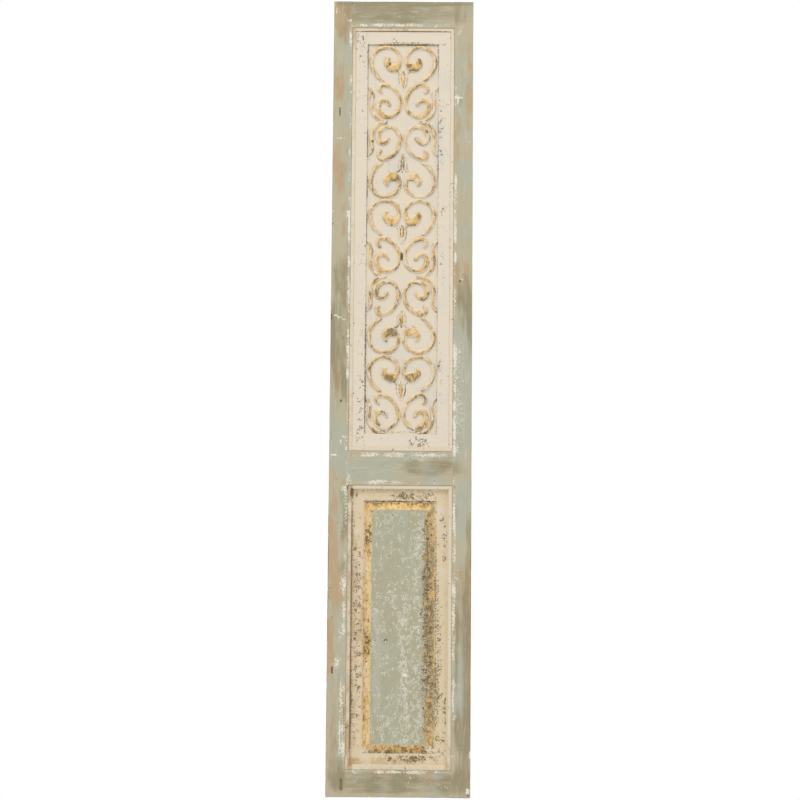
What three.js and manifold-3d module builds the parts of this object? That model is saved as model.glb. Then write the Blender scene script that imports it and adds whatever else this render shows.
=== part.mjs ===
// A tall decorative panel of painted and gilded wood: two stiles and three rails hold an upper
// panel carved with mirrored scrolls and a lower raised panel, with mitred mouldings round both.
// Millimetres. X runs to the right and Z up. The back lies at Y = 0 and the front faces -Y.
// The origin is on the back of the top rail, at its middle.

import * as THREE from 'three';
import * as BufferGeometryUtils from 'three/addons/utils/BufferGeometryUtils.js';
import Module from 'manifold-3d';

const wasm = await Module();
wasm.setup();

// The frame
const openingWidth = 234;
const stileWidth = 43;
const topRailHeight = 62;
const upperOpeningHeight = 973;
const lockRailHeight = 77;
const lowerOpeningHeight = 628;
const bottomRailHeight = 60;
const frameDepth = 25;
const arrisRadius = 1.6;
const grooveDepth = 9;
const grooveWidth = 8;
const grooveToBack = 6;

// Clearances between neighbouring pieces
const fitGap = 0.3;
const tongueRoom = 1.2;

// The mouldings planted round the openings
const mouldingWidth = 8;
const mouldingBelowFrame = 1.5;
const mouldingArris = 1;
const noseFillet = 1.2;
const coveWidth = 3;
const shadowGap = 0.8;

// The carved panel: a flat border round a sunk field
const borderBelowFrame = 3.5;
const borderWidthAtSides = 26.7;
const borderWidthAtEnds = 29.7;
const fieldSink = 4.5;
const fieldWallRun = 1.5;

// The lower panel: a flat margin, a quirk, a bevel and a raised field
const marginWidth = 34;
const quirkWidth = 4;
const quirkSink = 2;
const quirkSlope = 1;
const bevelWidth = 16;
const raisedFieldBelowFrame = 2.8;
const raisedFieldStep = 1.2;
const raisedFieldArris = 0.6;

// The carving. Five units stand one above the other, each turned over against the last.
const unitCount = 5;
const crestWidth = 5.6;
const flankWidth = 3.5;
const crestCrown = 0.4;
const petalSink = 1.6;
const carvingRoot = 2;

// On the inside of a bend the crest and the foot of a flank keep to these shares of its radius.
const crestShareOfBend = 0.75;
const footShareOfBend = 0.96;

// Each stroke is drawn in a half unit of this size, from the middle line outwards and from the
// top of the unit down, and is then stretched to the field that it fills.
const drawnHalfWidth = 80;
const drawnHeight = 178.6;
const degreesPerStep = 24;
const longestStep = 15;

// start: the first point. heading: degrees, where 0 points outwards and 90 points up.
// runs: length and sweep in degrees of each arc, where a positive sweep turns to the left.
// widths: share of the length and the crest width there, as a share of crestWidth.
const heartScroll = {
  start: [47.7, 81.9],
  heading: 31,
  runs: [[53, 60], [79.5, 136], [26.9, 56], [39, 148], [11.5, 66]],
  widths: [[0, 0.8], [0.1, 1], [0.7, 1], [0.77, 1.15], [0.86, 3.5], [0.93, 2.5], [0.98, 1.2], [1, 0.5]],
  sink: 0,
};
const cScroll = {
  start: [50.5, 110.5],
  heading: 37,
  runs: [[28.9, 156], [55.4, 68], [37.2, 63.5], [57.8, 141], [22.2, 111.5], [10.9, 31]],
  widths: [[0, 0.6], [0.04, 1.2], [0.12, 1.2], [0.3, 1], [0.6, 1], [0.72, 1.5], [0.9, 1.4], [1, 0.7]],
  sink: 0,
};
const sideSprig = {
  start: [39, 177.9],
  heading: 2,
  runs: [[49.5, 85], [24.1, 13], [27.6, -70]],
  widths: [[0, 0.9], [0.2, 1], [0.75, 0.95], [1, 0.4]],
  sink: 0,
};
const outerPetal = {
  start: [0.6, 103],
  heading: 61,
  runs: [[29.7, 34], [15.7, -75]],
  widths: [[0, 0.3], [0.35, 0.8], [0.6, 1], [0.85, 0.6], [1, 0.2]],
  sink: petalSink,
};
const middlePetal = {
  start: [0, 98],
  heading: 90,
  runs: [[36, 0]],
  widths: [[0, 0.2], [0.5, 1.1], [1, 0.15]],
  sink: petalSink,
};

const arcSegments = 2;
const quarterTurn = Math.PI / 2;
const halfTurn = Math.PI;

// What follows from the sizes
const halfOpening = openingWidth / 2;
const panelWidth = openingWidth + 2 * stileWidth;
const topEdge = topRailHeight / 2;
const upperOpeningTop = topEdge - topRailHeight;
const upperOpeningMiddle = upperOpeningTop - upperOpeningHeight / 2;
const lockRailTop = upperOpeningTop - upperOpeningHeight;
const lowerOpeningTop = lockRailTop - lockRailHeight;
const lowerOpeningMiddle = lowerOpeningTop - lowerOpeningHeight / 2;
const bottomRailTop = lowerOpeningTop - lowerOpeningHeight;
const bottomEdge = bottomRailTop - bottomRailHeight;
const frontFace = -frameDepth;
const grooveBack = -grooveToBack;
const grooveFront = -grooveToBack - grooveWidth;
const tongueBack = grooveBack - fitGap;
const tongueFront = grooveFront + fitGap;
const mouldingFront = frontFace + mouldingBelowFrame;
const mouldingBack = tongueFront - fitGap;
const borderFront = frontFace + borderBelowFrame;
const groundLevel = borderFront + fieldSink;
const raisedFieldFront = frontFace + raisedFieldBelowFrame;

const sagePaint = { color: 0xb0b09a, roughness: 0.72, metalness: 0 };
const creamPaint = { color: 0xe4d6ba, roughness: 0.6, metalness: 0 };
const agedCream = { color: 0xe3d3b4, roughness: 0.65, metalness: 0 };

// Booleans

function asSolid(geometry) {
  const bare = geometry.clone();
  bare.deleteAttribute('normal');
  bare.deleteAttribute('uv');
  const merged = BufferGeometryUtils.mergeVertices(bare);
  const mesh = new wasm.Mesh({
    numProp: 3,
    vertProperties: new Float32Array(merged.attributes.position.array),
    triVerts: new Uint32Array(merged.index.array),
  });
  return new wasm.Manifold(mesh);
}

function asGeometry(solid) {
  const mesh = solid.getMesh();
  const geometry = new THREE.BufferGeometry();
  geometry.setAttribute('position', new THREE.BufferAttribute(mesh.vertProperties, mesh.numProp));
  geometry.setIndex(new THREE.BufferAttribute(mesh.triVerts, 1));
  return geometry;
}

// The frame's boards

// The section of a board: across its width in X and from back to front in -Y, with eased front
// arrises and a groove in each edge that faces a panel.
function boardShape(width, groovedLow, groovedHigh) {
  const half = width / 2;
  const arrisMiddle = frontFace + arrisRadius;
  const shape = new THREE.Shape();
  shape.moveTo(half, 0);
  shape.lineTo(-half, 0);
  if (groovedLow) {
    shape.lineTo(-half, grooveBack);
    shape.lineTo(-half + grooveDepth, grooveBack);
    shape.lineTo(-half + grooveDepth, grooveFront);
    shape.lineTo(-half, grooveFront);
  }
  shape.absarc(-half + arrisRadius, arrisMiddle, arrisRadius, halfTurn, 3 * quarterTurn);
  shape.absarc(half - arrisRadius, arrisMiddle, arrisRadius, -quarterTurn, 0);
  if (groovedHigh) {
    shape.lineTo(half, grooveFront);
    shape.lineTo(half - grooveDepth, grooveFront);
    shape.lineTo(half - grooveDepth, grooveBack);
    shape.lineTo(half, grooveBack);
  }
  return shape;
}

// A board along local Z, centred on its length, with its width along local X.
function board(width, length, groovedLow, groovedHigh) {
  const settings = { depth: length, bevelEnabled: false, curveSegments: arcSegments };
  const geometry = new THREE.ExtrudeGeometry(
    boardShape(width, groovedLow, groovedHigh), settings);
  return geometry.translate(0, 0, -length / 2);
}

// A rail is a board with a stub tenon at each end that fills the grooves of the stiles.
function railGeometry(height, groovedLow, groovedHigh) {
  const length = openingWidth - 2 * fitGap;
  const tenonLow = -height / 2 + (groovedLow ? grooveDepth : 0);
  const tenonHigh = height / 2 - (groovedHigh ? grooveDepth : 0);
  const tenonLength = openingWidth + 2 * (grooveDepth - fitGap);
  const tenon = new THREE.BoxGeometry(tenonHigh - tenonLow, tongueBack - tongueFront, tenonLength);
  tenon.translate((tenonLow + tenonHigh) / 2, (tongueBack + tongueFront) / 2, 0);
  const body = board(height, length, groovedLow, groovedHigh);
  return asGeometry(asSolid(body).add(asSolid(tenon)));
}

// Panels

// A panel built up of rectangles: each profile point gives how far the rectangle stands in from
// the outer edge, at the ends and at the sides, and its depth. Neighbours are joined by slopes.
function steppedPanel(width, height, profile) {
  const positions = [];
  for (const { atEnds, atSides, depth } of profile) {
    const halfWidth = width / 2 - atSides;
    const halfHeight = height / 2 - atEnds;
    positions.push(-halfWidth, depth, -halfHeight, halfWidth, depth, -halfHeight);
    positions.push(halfWidth, depth, halfHeight, -halfWidth, depth, halfHeight);
  }
  const indices = [0, 2, 1, 0, 3, 2];
  for (let ring = 0; ring < profile.length - 1; ring++) {
    for (let corner = 0; corner < 4; corner++) {
      const a = ring * 4 + corner;
      const b = ring * 4 + ((corner + 1) % 4);
      indices.push(a, b, b + 4, a, b + 4, a + 4);
    }
  }
  const last = (profile.length - 1) * 4;
  indices.push(last, last + 1, last + 2, last, last + 2, last + 3);
  const geometry = new THREE.BufferGeometry();
  geometry.setAttribute('position', new THREE.Float32BufferAttribute(positions, 3));
  geometry.setIndex(indices);
  return geometry;
}

function evenly(inset, depth) {
  return { atEnds: inset, atSides: inset, depth };
}

const tongueReach = grooveDepth - tongueRoom;

function raisedPanelGeometry() {
  const toMargin = tongueReach + marginWidth;
  const toBevel = toMargin + quirkWidth;
  const toField = toBevel + bevelWidth;
  const quirkBottom = tongueFront + quirkSink;
  return steppedPanel(openingWidth + 2 * tongueReach, lowerOpeningHeight + 2 * tongueReach, [
    evenly(0, tongueBack),
    evenly(0, tongueFront),
    evenly(toMargin, tongueFront),
    evenly(toMargin + quirkSlope, quirkBottom),
    evenly(toBevel - quirkSlope, quirkBottom),
    evenly(toBevel, tongueFront),
    evenly(toField, raisedFieldFront + raisedFieldStep),
    evenly(toField + raisedFieldArris, raisedFieldFront),
  ]);
}

const borderInset = tongueReach + fitGap + mouldingWidth + shadowGap;
const groundHalfWidth = halfOpening - fitGap - mouldingWidth - shadowGap - borderWidthAtSides
  - fieldWallRun;
const groundHeight = upperOpeningHeight
  - 2 * (fitGap + mouldingWidth + shadowGap + borderWidthAtEnds + fieldWallRun);

function carvedBoardGeometry() {
  return steppedPanel(openingWidth + 2 * tongueReach, upperOpeningHeight + 2 * tongueReach, [
    evenly(0, tongueBack),
    evenly(0, tongueFront),
    evenly(borderInset, tongueFront),
    evenly(borderInset, borderFront),
    {
      atEnds: borderInset + borderWidthAtEnds,
      atSides: borderInset + borderWidthAtSides,
      depth: borderFront,
    },
    {
      atEnds: borderInset + borderWidthAtEnds + fieldWallRun,
      atSides: borderInset + borderWidthAtSides + fieldWallRun,
      depth: groundLevel,
    },
  ]);
}

// Carving

// Points along a chain of arcs, each with its bend radius and its share of the whole length.
function tracePath({ start, heading, runs }) {
  let [out, down] = start;
  let angle = THREE.MathUtils.degToRad(heading);
  let travelled = 0;
  const points = [];
  for (const [length, sweep] of runs) {
    const turn = THREE.MathUtils.degToRad(sweep);
    const radius = turn === 0 ? Infinity : length / Math.abs(turn);
    const steps = Math.ceil(Math.max(Math.abs(sweep) / degreesPerStep, length / longestStep));
    const halfStep = turn / steps / 2;
    const chord = turn === 0 ? length / steps : 2 * radius * Math.sin(Math.abs(halfStep));
    if (points.length === 0) {
      points.push({ out, down, radius, travelled });
    }
    for (let step = 0; step < steps; step++) {
      angle += halfStep;
      out += chord * Math.cos(angle);
      down -= chord * Math.sin(angle);
      angle += halfStep;
      travelled += length / steps;
      points.push({ out, down, radius, travelled });
    }
  }
  return points.map((point) => ({ ...point, share: point.travelled / travelled }));
}

function smoothBetween(knots, share) {
  const next = Math.max(1, knots.findIndex(([at]) => at >= share));
  const [fromShare, fromValue] = knots[next - 1];
  const [toShare, toValue] = knots[next];
  return fromValue + (toValue - fromValue)
    * THREE.MathUtils.smoothstep(share, fromShare, toShare);
}

// A stroke of the carving as a closed body: a crest with a slight crown, sloping flanks and a
// root inside the board. side is 1 to the right of the middle line and -1 to the left of it.
function strokeGeometry(stroke, side, unitTop, unitHeight, turnedOver) {
  const stretchOut = groundHalfWidth / drawnHalfWidth;
  const stretchDown = unitHeight / drawnHeight;
  const path = tracePath(stroke);
  const centres = path.map(({ out, down }) => {
    const drop = turnedOver ? unitHeight - down * stretchDown : down * stretchDown;
    return new THREE.Vector2(side * out * stretchOut, unitTop - drop);
  });
  const root = groundLevel + carvingRoot;
  const crest = borderFront + stroke.sink;
  const flankSlope = flankWidth / fieldSink;
  const positions = [];
  path.forEach(({ share, radius }, index) => {
    const before = centres[Math.max(index - 1, 0)];
    const after = centres[Math.min(index + 1, centres.length - 1)];
    const along = after.clone().sub(before).normalize();
    const leftwards = new THREE.Vector2(-along.y, along.x);
    const bend = radius * Math.min(stretchOut, stretchDown);
    const wanted = smoothBetween(stroke.widths, share) * crestWidth / 2;
    const half = Math.min(wanted, crestShareOfBend * bend);
    const foot = Math.min(half + flankSlope * (groundLevel - crest), footShareOfBend * bend);
    const section = [[foot, root], [foot, groundLevel], [half, crest], [0, crest - crestCrown],
      [-half, crest], [-foot, groundLevel], [-foot, root]];
    for (const [offset, depth] of section) {
      const point = centres[index].clone().addScaledVector(leftwards, offset);
      positions.push(point.x, depth, point.y);
    }
  });
  return sweptBody(positions, path.length, 7);
}

// Joins rows of section points into one closed body. Each section runs from the left foot over
// the crest to the right foot, seen along the stroke.
function sweptBody(positions, rows, perRow) {
  const indices = [];
  for (let row = 0; row < rows - 1; row++) {
    for (let place = 0; place < perRow; place++) {
      const a = row * perRow + place;
      const b = row * perRow + ((place + 1) % perRow);
      indices.push(a, b, b + perRow, a, b + perRow, a + perRow);
    }
  }
  const last = (rows - 1) * perRow;
  for (let place = 1; place < perRow - 1; place++) {
    indices.push(0, place + 1, place);
    indices.push(last, last + place, last + place + 1);
  }
  const geometry = new THREE.BufferGeometry();
  geometry.setAttribute('position', new THREE.Float32BufferAttribute(positions, 3));
  geometry.setIndex(indices);
  return geometry;
}

function carvedPanelGeometry() {
  let panel = asSolid(carvedBoardGeometry());
  const unitHeight = groundHeight / unitCount;
  for (let unit = 0; unit < unitCount; unit++) {
    const unitTop = groundHeight / 2 - unit * unitHeight;
    const turnedOver = unit % 2 === 1;
    for (const side of [-1, 1]) {
      for (const stroke of [heartScroll, cScroll, sideSprig, outerPetal]) {
        panel = panel.add(asSolid(strokeGeometry(stroke, side, unitTop, unitHeight, turnedOver)));
      }
    }
    panel = panel.add(asSolid(strokeGeometry(middlePetal, 1, unitTop, unitHeight, turnedOver)));
  }
  return asGeometry(panel);
}

// Mouldings

// The section of a moulding: across its width in X, away from the frame, and to the front in
// -Y. Both front arrises are rounded. Where asked, a cove runs down from a fillet below the
// inner one.
function mouldingShape(cove) {
  const arrisMiddle = mouldingFront + mouldingArris;
  const shape = new THREE.Shape();
  shape.moveTo(mouldingWidth, mouldingBack);
  shape.lineTo(0, mouldingBack);
  shape.absarc(mouldingArris, arrisMiddle, mouldingArris, halfTurn, 3 * quarterTurn);
  shape.absarc(mouldingWidth - mouldingArris, arrisMiddle, mouldingArris, -quarterTurn, 0);
  if (cove > 0) {
    const coveTop = arrisMiddle + noseFillet;
    shape.absellipse(mouldingWidth + cove, coveTop, cove, mouldingBack - coveTop,
      halfTurn, quarterTurn, true);
  }
  return shape;
}

// A strip along local Z with its section to local +X, cut to a mitre at both ends.
function mouldingGeometry(length, cove) {
  const settings = { depth: 1, bevelEnabled: false, curveSegments: arcSegments };
  const geometry = new THREE.ExtrudeGeometry(mouldingShape(cove), settings);
  const position = geometry.attributes.position;
  for (let index = 0; index < position.count; index++) {
    const end = position.getZ(index) > 0.5 ? 1 : -1;
    position.setZ(index, end * (length / 2 - position.getX(index) - fitGap * Math.SQRT1_2));
  }
  return geometry;
}

// Assembly

const panel = new THREE.Group();

function place(name, geometry, finish, x, z, turn = 0) {
  const mesh = new THREE.Mesh(geometry, new THREE.MeshStandardMaterial(finish));
  mesh.name = name;
  mesh.position.set(x, 0, z);
  mesh.rotation.y = turn;
  panel.add(mesh);
}

const stileMiddle = (topEdge + bottomEdge) / 2;
const stileLength = topEdge - bottomEdge;
const stileOffset = (panelWidth - stileWidth) / 2;
place('left_stile', board(stileWidth, stileLength, false, true), sagePaint,
  -stileOffset, stileMiddle);
place('right_stile', board(stileWidth, stileLength, true, false), sagePaint,
  stileOffset, stileMiddle);
place('top_rail', railGeometry(topRailHeight, true, false), sagePaint, 0, 0, -quarterTurn);
place('lock_rail', railGeometry(lockRailHeight, true, true), sagePaint,
  0, lockRailTop - lockRailHeight / 2, -quarterTurn);
place('bottom_rail', railGeometry(bottomRailHeight, false, true), sagePaint,
  0, bottomRailTop - bottomRailHeight / 2, -quarterTurn);
place('carved_panel', carvedPanelGeometry(), creamPaint, 0, upperOpeningMiddle);
place('raised_panel', raisedPanelGeometry(), agedCream, 0, lowerOpeningMiddle);

for (const [row, height, middle, cove] of [
  ['upper', upperOpeningHeight, upperOpeningMiddle, 0],
  ['lower', lowerOpeningHeight, lowerOpeningMiddle, coveWidth],
]) {
  const across = halfOpening - fitGap;
  const up = height / 2 - fitGap;
  const upright = mouldingGeometry(2 * up, cove);
  const level = mouldingGeometry(2 * across, cove);
  place(`${row}_moulding_left`, upright, creamPaint, -across, middle);
  place(`${row}_moulding_right`, upright, creamPaint, across, middle, halfTurn);
  place(`${row}_moulding_top`, level, creamPaint, 0, middle + up, quarterTurn);
  place(`${row}_moulding_bottom`, level, creamPaint, 0, middle - up, -quarterTurn);
}

export default panel;
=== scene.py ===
"""The looks of a tall decorative panel of painted, waxed and gilded wood.

The panel's front faces -Y, X runs to the right and Z up. Sizes in the code are millimetres
unless a name says otherwise, and become metres where a mesh is made.
"""

import math
from types import SimpleNamespace

import bmesh
import bpy
import numpy as np
from mathutils import Euler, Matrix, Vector


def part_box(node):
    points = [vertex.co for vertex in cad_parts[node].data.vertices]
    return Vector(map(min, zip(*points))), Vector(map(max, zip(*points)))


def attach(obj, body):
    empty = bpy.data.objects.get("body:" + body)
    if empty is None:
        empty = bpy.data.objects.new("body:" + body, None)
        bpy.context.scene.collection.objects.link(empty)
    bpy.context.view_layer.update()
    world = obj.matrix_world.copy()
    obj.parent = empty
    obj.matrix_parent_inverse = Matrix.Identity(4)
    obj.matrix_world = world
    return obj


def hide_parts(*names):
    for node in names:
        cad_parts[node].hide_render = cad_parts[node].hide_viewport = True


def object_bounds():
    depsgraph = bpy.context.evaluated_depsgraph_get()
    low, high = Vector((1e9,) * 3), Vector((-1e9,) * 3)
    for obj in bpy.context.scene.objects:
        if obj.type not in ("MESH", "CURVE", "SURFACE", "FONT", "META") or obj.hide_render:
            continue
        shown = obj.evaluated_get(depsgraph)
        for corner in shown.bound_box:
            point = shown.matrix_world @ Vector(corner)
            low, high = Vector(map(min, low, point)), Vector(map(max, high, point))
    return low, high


bl_info = {
    "name": "Scrollwork Wall Panel",
    "version": (1, 0, 0),
    "blender": (4, 5, 0),
    "location": "3D View > Sidebar > Wall Panel",
    "description": "Builds the painted frame, carved board, raised board and mouldings",
    "category": "Add Mesh",
}

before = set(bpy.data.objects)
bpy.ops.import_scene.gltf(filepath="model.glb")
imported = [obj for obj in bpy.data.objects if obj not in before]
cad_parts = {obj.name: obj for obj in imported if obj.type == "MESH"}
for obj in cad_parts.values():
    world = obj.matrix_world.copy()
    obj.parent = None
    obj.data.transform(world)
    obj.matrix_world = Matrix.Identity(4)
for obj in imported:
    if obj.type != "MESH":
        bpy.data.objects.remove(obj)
CAD_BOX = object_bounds()
MM = 0.001
LEFT = CAD_BOX[0].x / MM
TOP = CAD_BOX[1].z / MM
FRONT = CAD_BOX[0].y / MM

# Spacing of the meshes' points
FACE_STEP = 1.5
ALONG_STEP = 2.2
STRIP_STEP = 3.0
FIELD_STEP = 1.7
MARGIN_STEP = 2.6
BORDER_STEP = 3.6
# Spacing of the carving's maps, and of the points along its strokes
MAP_STEP = 0.4
TRACE_STEP = 2.0
# Points on a rounded edge, the cove, the bevel and the quirk
ARRIS_STEPS = 4
COVE_STEPS = 7
BEVEL_STEPS = 9
QUIRK_STEPS = 7
# Distances from a board's end where its rounding has points, and where even spacing begins
END_EASING = np.array([0, 0.3, 0.8, 1.6, 2.6])
EVEN_FROM = 4
# Points nearer than this are merged, and edges sharper than this stay crisp
WELD = 0.002
SHARP_ANGLE = math.radians(38)

# The carving's half unit as drawn, and how many units stand above one another
DRAWN_HALF_WIDTH = 80
DRAWN_HEIGHT = 178.6
UNIT_COUNT = 5
# Half a crest's greatest width as a share of its bend's radius, and a straight run's radius
CREST_SHARE_OF_BEND = 0.75
STRAIGHT_RADIUS = 1e6
# Distance used where no stroke is near
FAR = 99.0
# Share of a heart scroll's length where its bulb begins, and the share over which it grows
BULB_START = 0.72
BULB_GROWTH = 0.13
# How far down a unit the wax round the petals ends, and an outer petal's rim without leaf
PETAL_FADE = 96
PETAL_RIM = 1.6
# How strongly the carving gets painted shade on its lower right sides, which face away from
# the light, and a painted highlight on its upper left sides
PAINTED_SHADE_GAIN = 1.2
# Steps of the wall round the carved field, as shares of its run and of its height
WALL_STEPS = [(0.33, 0.4), (0.66, 0.75), (0.9, 0.96)]
# How many of each board's last rims are hidden in the frame
CARVED_HIDDEN_RIMS = 4
RAISED_HIDDEN_RIMS = 2

# Room round the boards' tongues, round the carved border and at the ends of the tenons
TONGUE_ROOM = 1.2
BORDER_GAP = 0.4
END_GAP = 0.3
# Fillet above the cove, hollow of the bevel, and inset where the margin is under a moulding
COVE_FILLET = 1.2
BEVEL_HOLLOW = 0.3
MARGIN_HIDDEN = 12
# How far the dark leaf of the bevel's right side laps over the field, as painted shade
RIGHT_SHADE_OVERLAP = 9
# Shallow unevenness of the flat faces
FACE_DIP = 0.12
# Distance from the back at which the paint ends, and at which wear begins
UNPAINTED_DEPTH = 13
WORN_DEPTH = 15

# Light from all round, and the floor's radius, thickness and drop below the panel in metres
AMBIENT = 0.61
FLOOR_RADIUS = 1.6
FLOOR_THICKNESS = 0.02
FLOOR_DROP = 0.3
# Camera fitted to the panel's corners: place in metres, turn in degrees, lens and sensor in mm
CAMERA_PLACE = (0.0406, -4.2478, -1.3212)
CAMERA_TURN = (95.84, -0.454, 0.527)
CAMERA_LENS = 85
CAMERA_SENSOR = 36
# Name, direction from the panel, distance and size in metres, power in watts, and tint
LIGHTS = [
    ("Key light", (-0.6, -1.3, 1.4), 9.0, 5.5, 300, (1.0, 0.96, 0.9)),
    ("Fill light", (1.2, -1.0, -0.2), 6.0, 4.0, 44, (0.96, 0.97, 1.0)),
]


# Colours

def linear_colour(code):
    """Linear RGBA of an sRGB hex code, such as "E3D2AE"."""
    channels = [int(code[at:at + 2], 16) / 255 for at in (0, 2, 4)]
    linear = [c / 12.92 if c <= 0.04045 else ((c + 0.055) / 1.055) ** 2.4 for c in channels]
    return (*linear, 1.0)


def colour_property(name, description, code):
    return bpy.props.FloatVectorProperty(
        name=name, description=description, default=linear_colour(code),
        size=4, min=0, max=1, subtype="COLOR")


def length_property(name, description, millimetres):
    return bpy.props.FloatProperty(
        name=name, description=description, default=millimetres * MM, min=0,
        subtype="DISTANCE", precision=4)


class PanelFinish(bpy.types.PropertyGroup):
    """Colours of the paints, the leaf, the wax and the bare wood."""

    sage: colour_property("Sage", "Grey-green paint of the frame", "C6BB9C")
    blue_grey: colour_property("Blue grey", "Cooler coat that shows in patches", "BDBDA6")
    ochre: colour_property("Ochre", "Warm wash over the grey-green paint", "C8A87D")
    # The olive wash also stands for painted shade on the right side of the raised board's bevel
    olive: colour_property("Olive", "Darker wash along the frame's edges", "958965")
    bare_wood: colour_property("Bare wood", "Wood where the paint is rubbed off", "B78D5C")
    dark_wood: colour_property("Dark wood", "Dark grain, knots and splits", "6E5030")
    cream: colour_property("Cream", "Paint of the carved board", "F1E3CC")
    warm_cream: colour_property("Warm cream", "Yellower paint of the mouldings", "ECDCBE")
    aged_cream: colour_property("Aged cream", "Darker paint of the raised board", "EAD6B1")
    field_sage: colour_property("Field sage", "Grey-green paint of the raised field", "B7B294")
    cool_cream: colour_property("Cool cream", "Greyer coat on the carved board", "E6DDCF")
    chalk: colour_property("Chalk", "Pale undercoat in chips and smears", "F4EDDA")
    # The wax also paints shade and shadow in the quirk, the coves, under the lips and on the
    # carving's lower right sides, and the bright and dark leaf a painted highlight and painted
    # shade
    wax: colour_property("Wax", "Dark wax left in corners and specks", "6B5835")
    bright_leaf: colour_property("Bright leaf", "Gold leaf where it is whole", "F8DCA8")
    worn_leaf: colour_property("Worn leaf", "Gold leaf where it is thin", "E8BC74")
    dark_leaf: colour_property("Dark leaf", "Leaf stained by wax", "988457")


class PanelSizes(bpy.types.PropertyGroup):
    """Sizes of the detail that the finished surfaces carry."""

    outer_arris: length_property("Outer arris", "Radius worn on the frame's outer edges", 2.0)
    inner_arris: length_property("Inner arris", "Radius of the frame's inner edges", 0.25)
    strip_arris: length_property("Strip arris", "Radius of the mouldings' open edges", 1.1)
    joint_arris: length_property("Joint arris", "Radius where a moulding meets the frame", 0.3)
    groove_depth: length_property("Groove depth", "Depth of the grooves that hold the boards", 9)
    groove_front: length_property("Groove front", "From the back to a groove's front cheek", 14)
    groove_back: length_property("Groove back", "From the back to a groove's back cheek", 6)
    tongue_front: length_property("Tongue front", "From the back to a tongue's front", 13.7)
    tongue_back: length_property("Tongue back", "From the back to a tongue's back", 6.3)
    moulding_width: length_property("Moulding width", "Width of a moulding's strip", 8)
    moulding_front: length_property("Moulding front", "From the back to a moulding's face", 23.5)
    cove_width: length_property("Cove width", "Width of the lower mouldings' cove", 3)
    border_front: length_property("Border front", "From the back to the carved border", 21.5)
    border_at_sides: length_property("Side border", "Width of the carved board's sides", 26.7)
    border_at_ends: length_property("End border", "Width of the carved board's ends", 29.7)
    field_sink: length_property("Field sink", "Depth of the carved field below its border", 4.5)
    wall_run: length_property("Wall run", "Width of the slope round the carved field", 1.5)
    margin_width: length_property("Margin width", "Flat margin of the raised board", 34)
    quirk_width: length_property("Quirk width", "Width of the groove round the bevel", 4)
    quirk_sink: length_property("Quirk sink", "Depth of that groove under its paint", 1.3)
    bevel_width: length_property("Bevel width", "Width of the gilded bevel", 16)
    raised_front: length_property("Raised front", "From the back to the raised field", 22.2)
    field_step: length_property("Field step", "Drop from the raised field to the bevel", 1.2)
    crest_width: length_property("Crest width", "Flat of a carved scroll", 5.6)
    flank_width: length_property("Flank width", "Slope beside a carved scroll", 2.7)
    crest_crown: length_property("Crest crown", "Rise of a scroll's middle", 0.4)
    carving_step: length_property("Carving step", "Mesh spacing over the carving", 1.5)


def sizes_in_mm():
    """The panel's sizes as plain numbers of millimetres."""
    sizes = bpy.context.scene.wall_panel_sizes
    return SimpleNamespace(**{name: getattr(sizes, name) / MM for name in sizes.__annotations__})


# Numbers on whole arrays

# Large odd numbers that mix a lattice corner's places, the seed and the result in 32 bits
HASH_STEPS = np.array([374761393, 668265263, 1103515245], np.int64)
HASH_SEED = 2246822519
HASH_MIX = 1274126177
HASH_MASK = 0xFFFFFFFF
HALF_OF_16_BITS = 32767.5


def lattice_noise(places, cell, seed):
    """Smooth noise from -1 to 1: a random value at each corner of a lattice of cubes with sides
    of cell, blended across each cube with the smoothstep 3t^2 - 2t^3. cell may be a triple."""
    scaled = places / cell
    corner = np.floor(scaled).astype(np.int64)
    share = smoothstep(scaled - corner)
    total = np.zeros(places.shape[:-1])
    for step in np.ndindex(2, 2, 2):
        mixed = ((corner + step) @ HASH_STEPS + seed * HASH_SEED) & HASH_MASK
        mixed = ((mixed ^ (mixed >> 13)) * HASH_MIX) & HASH_MASK
        value = ((mixed ^ (mixed >> 16)) & 0xFFFF) / HALF_OF_16_BITS - 1
        total += value * np.prod(np.where(step, share, 1 - share), axis=-1)
    return total


def smoothstep(share):
    """3t^2 - 2t^3 of the share, held between 0 and 1."""
    t = np.clip(share, 0, 1)
    return t * t * (3 - 2 * t)


def between(knots, shares):
    """Values at the shares, along (share, value) knots, eased with a smoothstep in each gap."""
    at, values = np.array(knots, float).T
    after = np.clip(np.searchsorted(at, shares, side="left"), 1, len(at) - 1)
    gap = (shares - at[after - 1]) / (at[after] - at[after - 1])
    return values[after - 1] + (values[after] - values[after - 1]) * smoothstep(gap)


def patches(places, spots):
    """Sum of soft oval spots. Each is (across, down, half width, half height, strength) in mm
    from the panel's top left corner, and falls off as exp(-(x/a)^4 - (z/b)^4)."""
    across = places[..., 0] - LEFT
    down = TOP - places[..., 2]
    total = np.zeros(across.shape)
    for u, v, half_width, half_height, strength in spots:
        total += strength * np.exp(-((across - u) / half_width) ** 4
                                   - ((down - v) / half_height) ** 4)
    return total


def spaced(start, end, step):
    """Evenly spaced numbers from start to end, no further apart than step."""
    return np.linspace(start, end, max(2, int(math.ceil(abs(end - start) / step)) + 1))


def unpainted(points):
    """1 towards the back, where the wood is left bare, and 0 from UNPAINTED_DEPTH forwards."""
    return smoothstep((UNPAINTED_DEPTH + points[:, 1]) / 3)


# Meshes

def quad_sheet(rows, columns, wrap=False):
    """Corner numbers of the quads of a grid whose points are numbered row by row. With wrap,
    the last column joins the first."""
    grid = np.arange(rows * columns).reshape(rows, columns)
    if wrap:
        grid = np.concatenate([grid, grid[:, :1]], axis=1)
    return np.stack([grid[:-1, :-1], grid[:-1, 1:], grid[1:, 1:], grid[1:, :-1]],
                    axis=-1).reshape(-1, 4)


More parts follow.
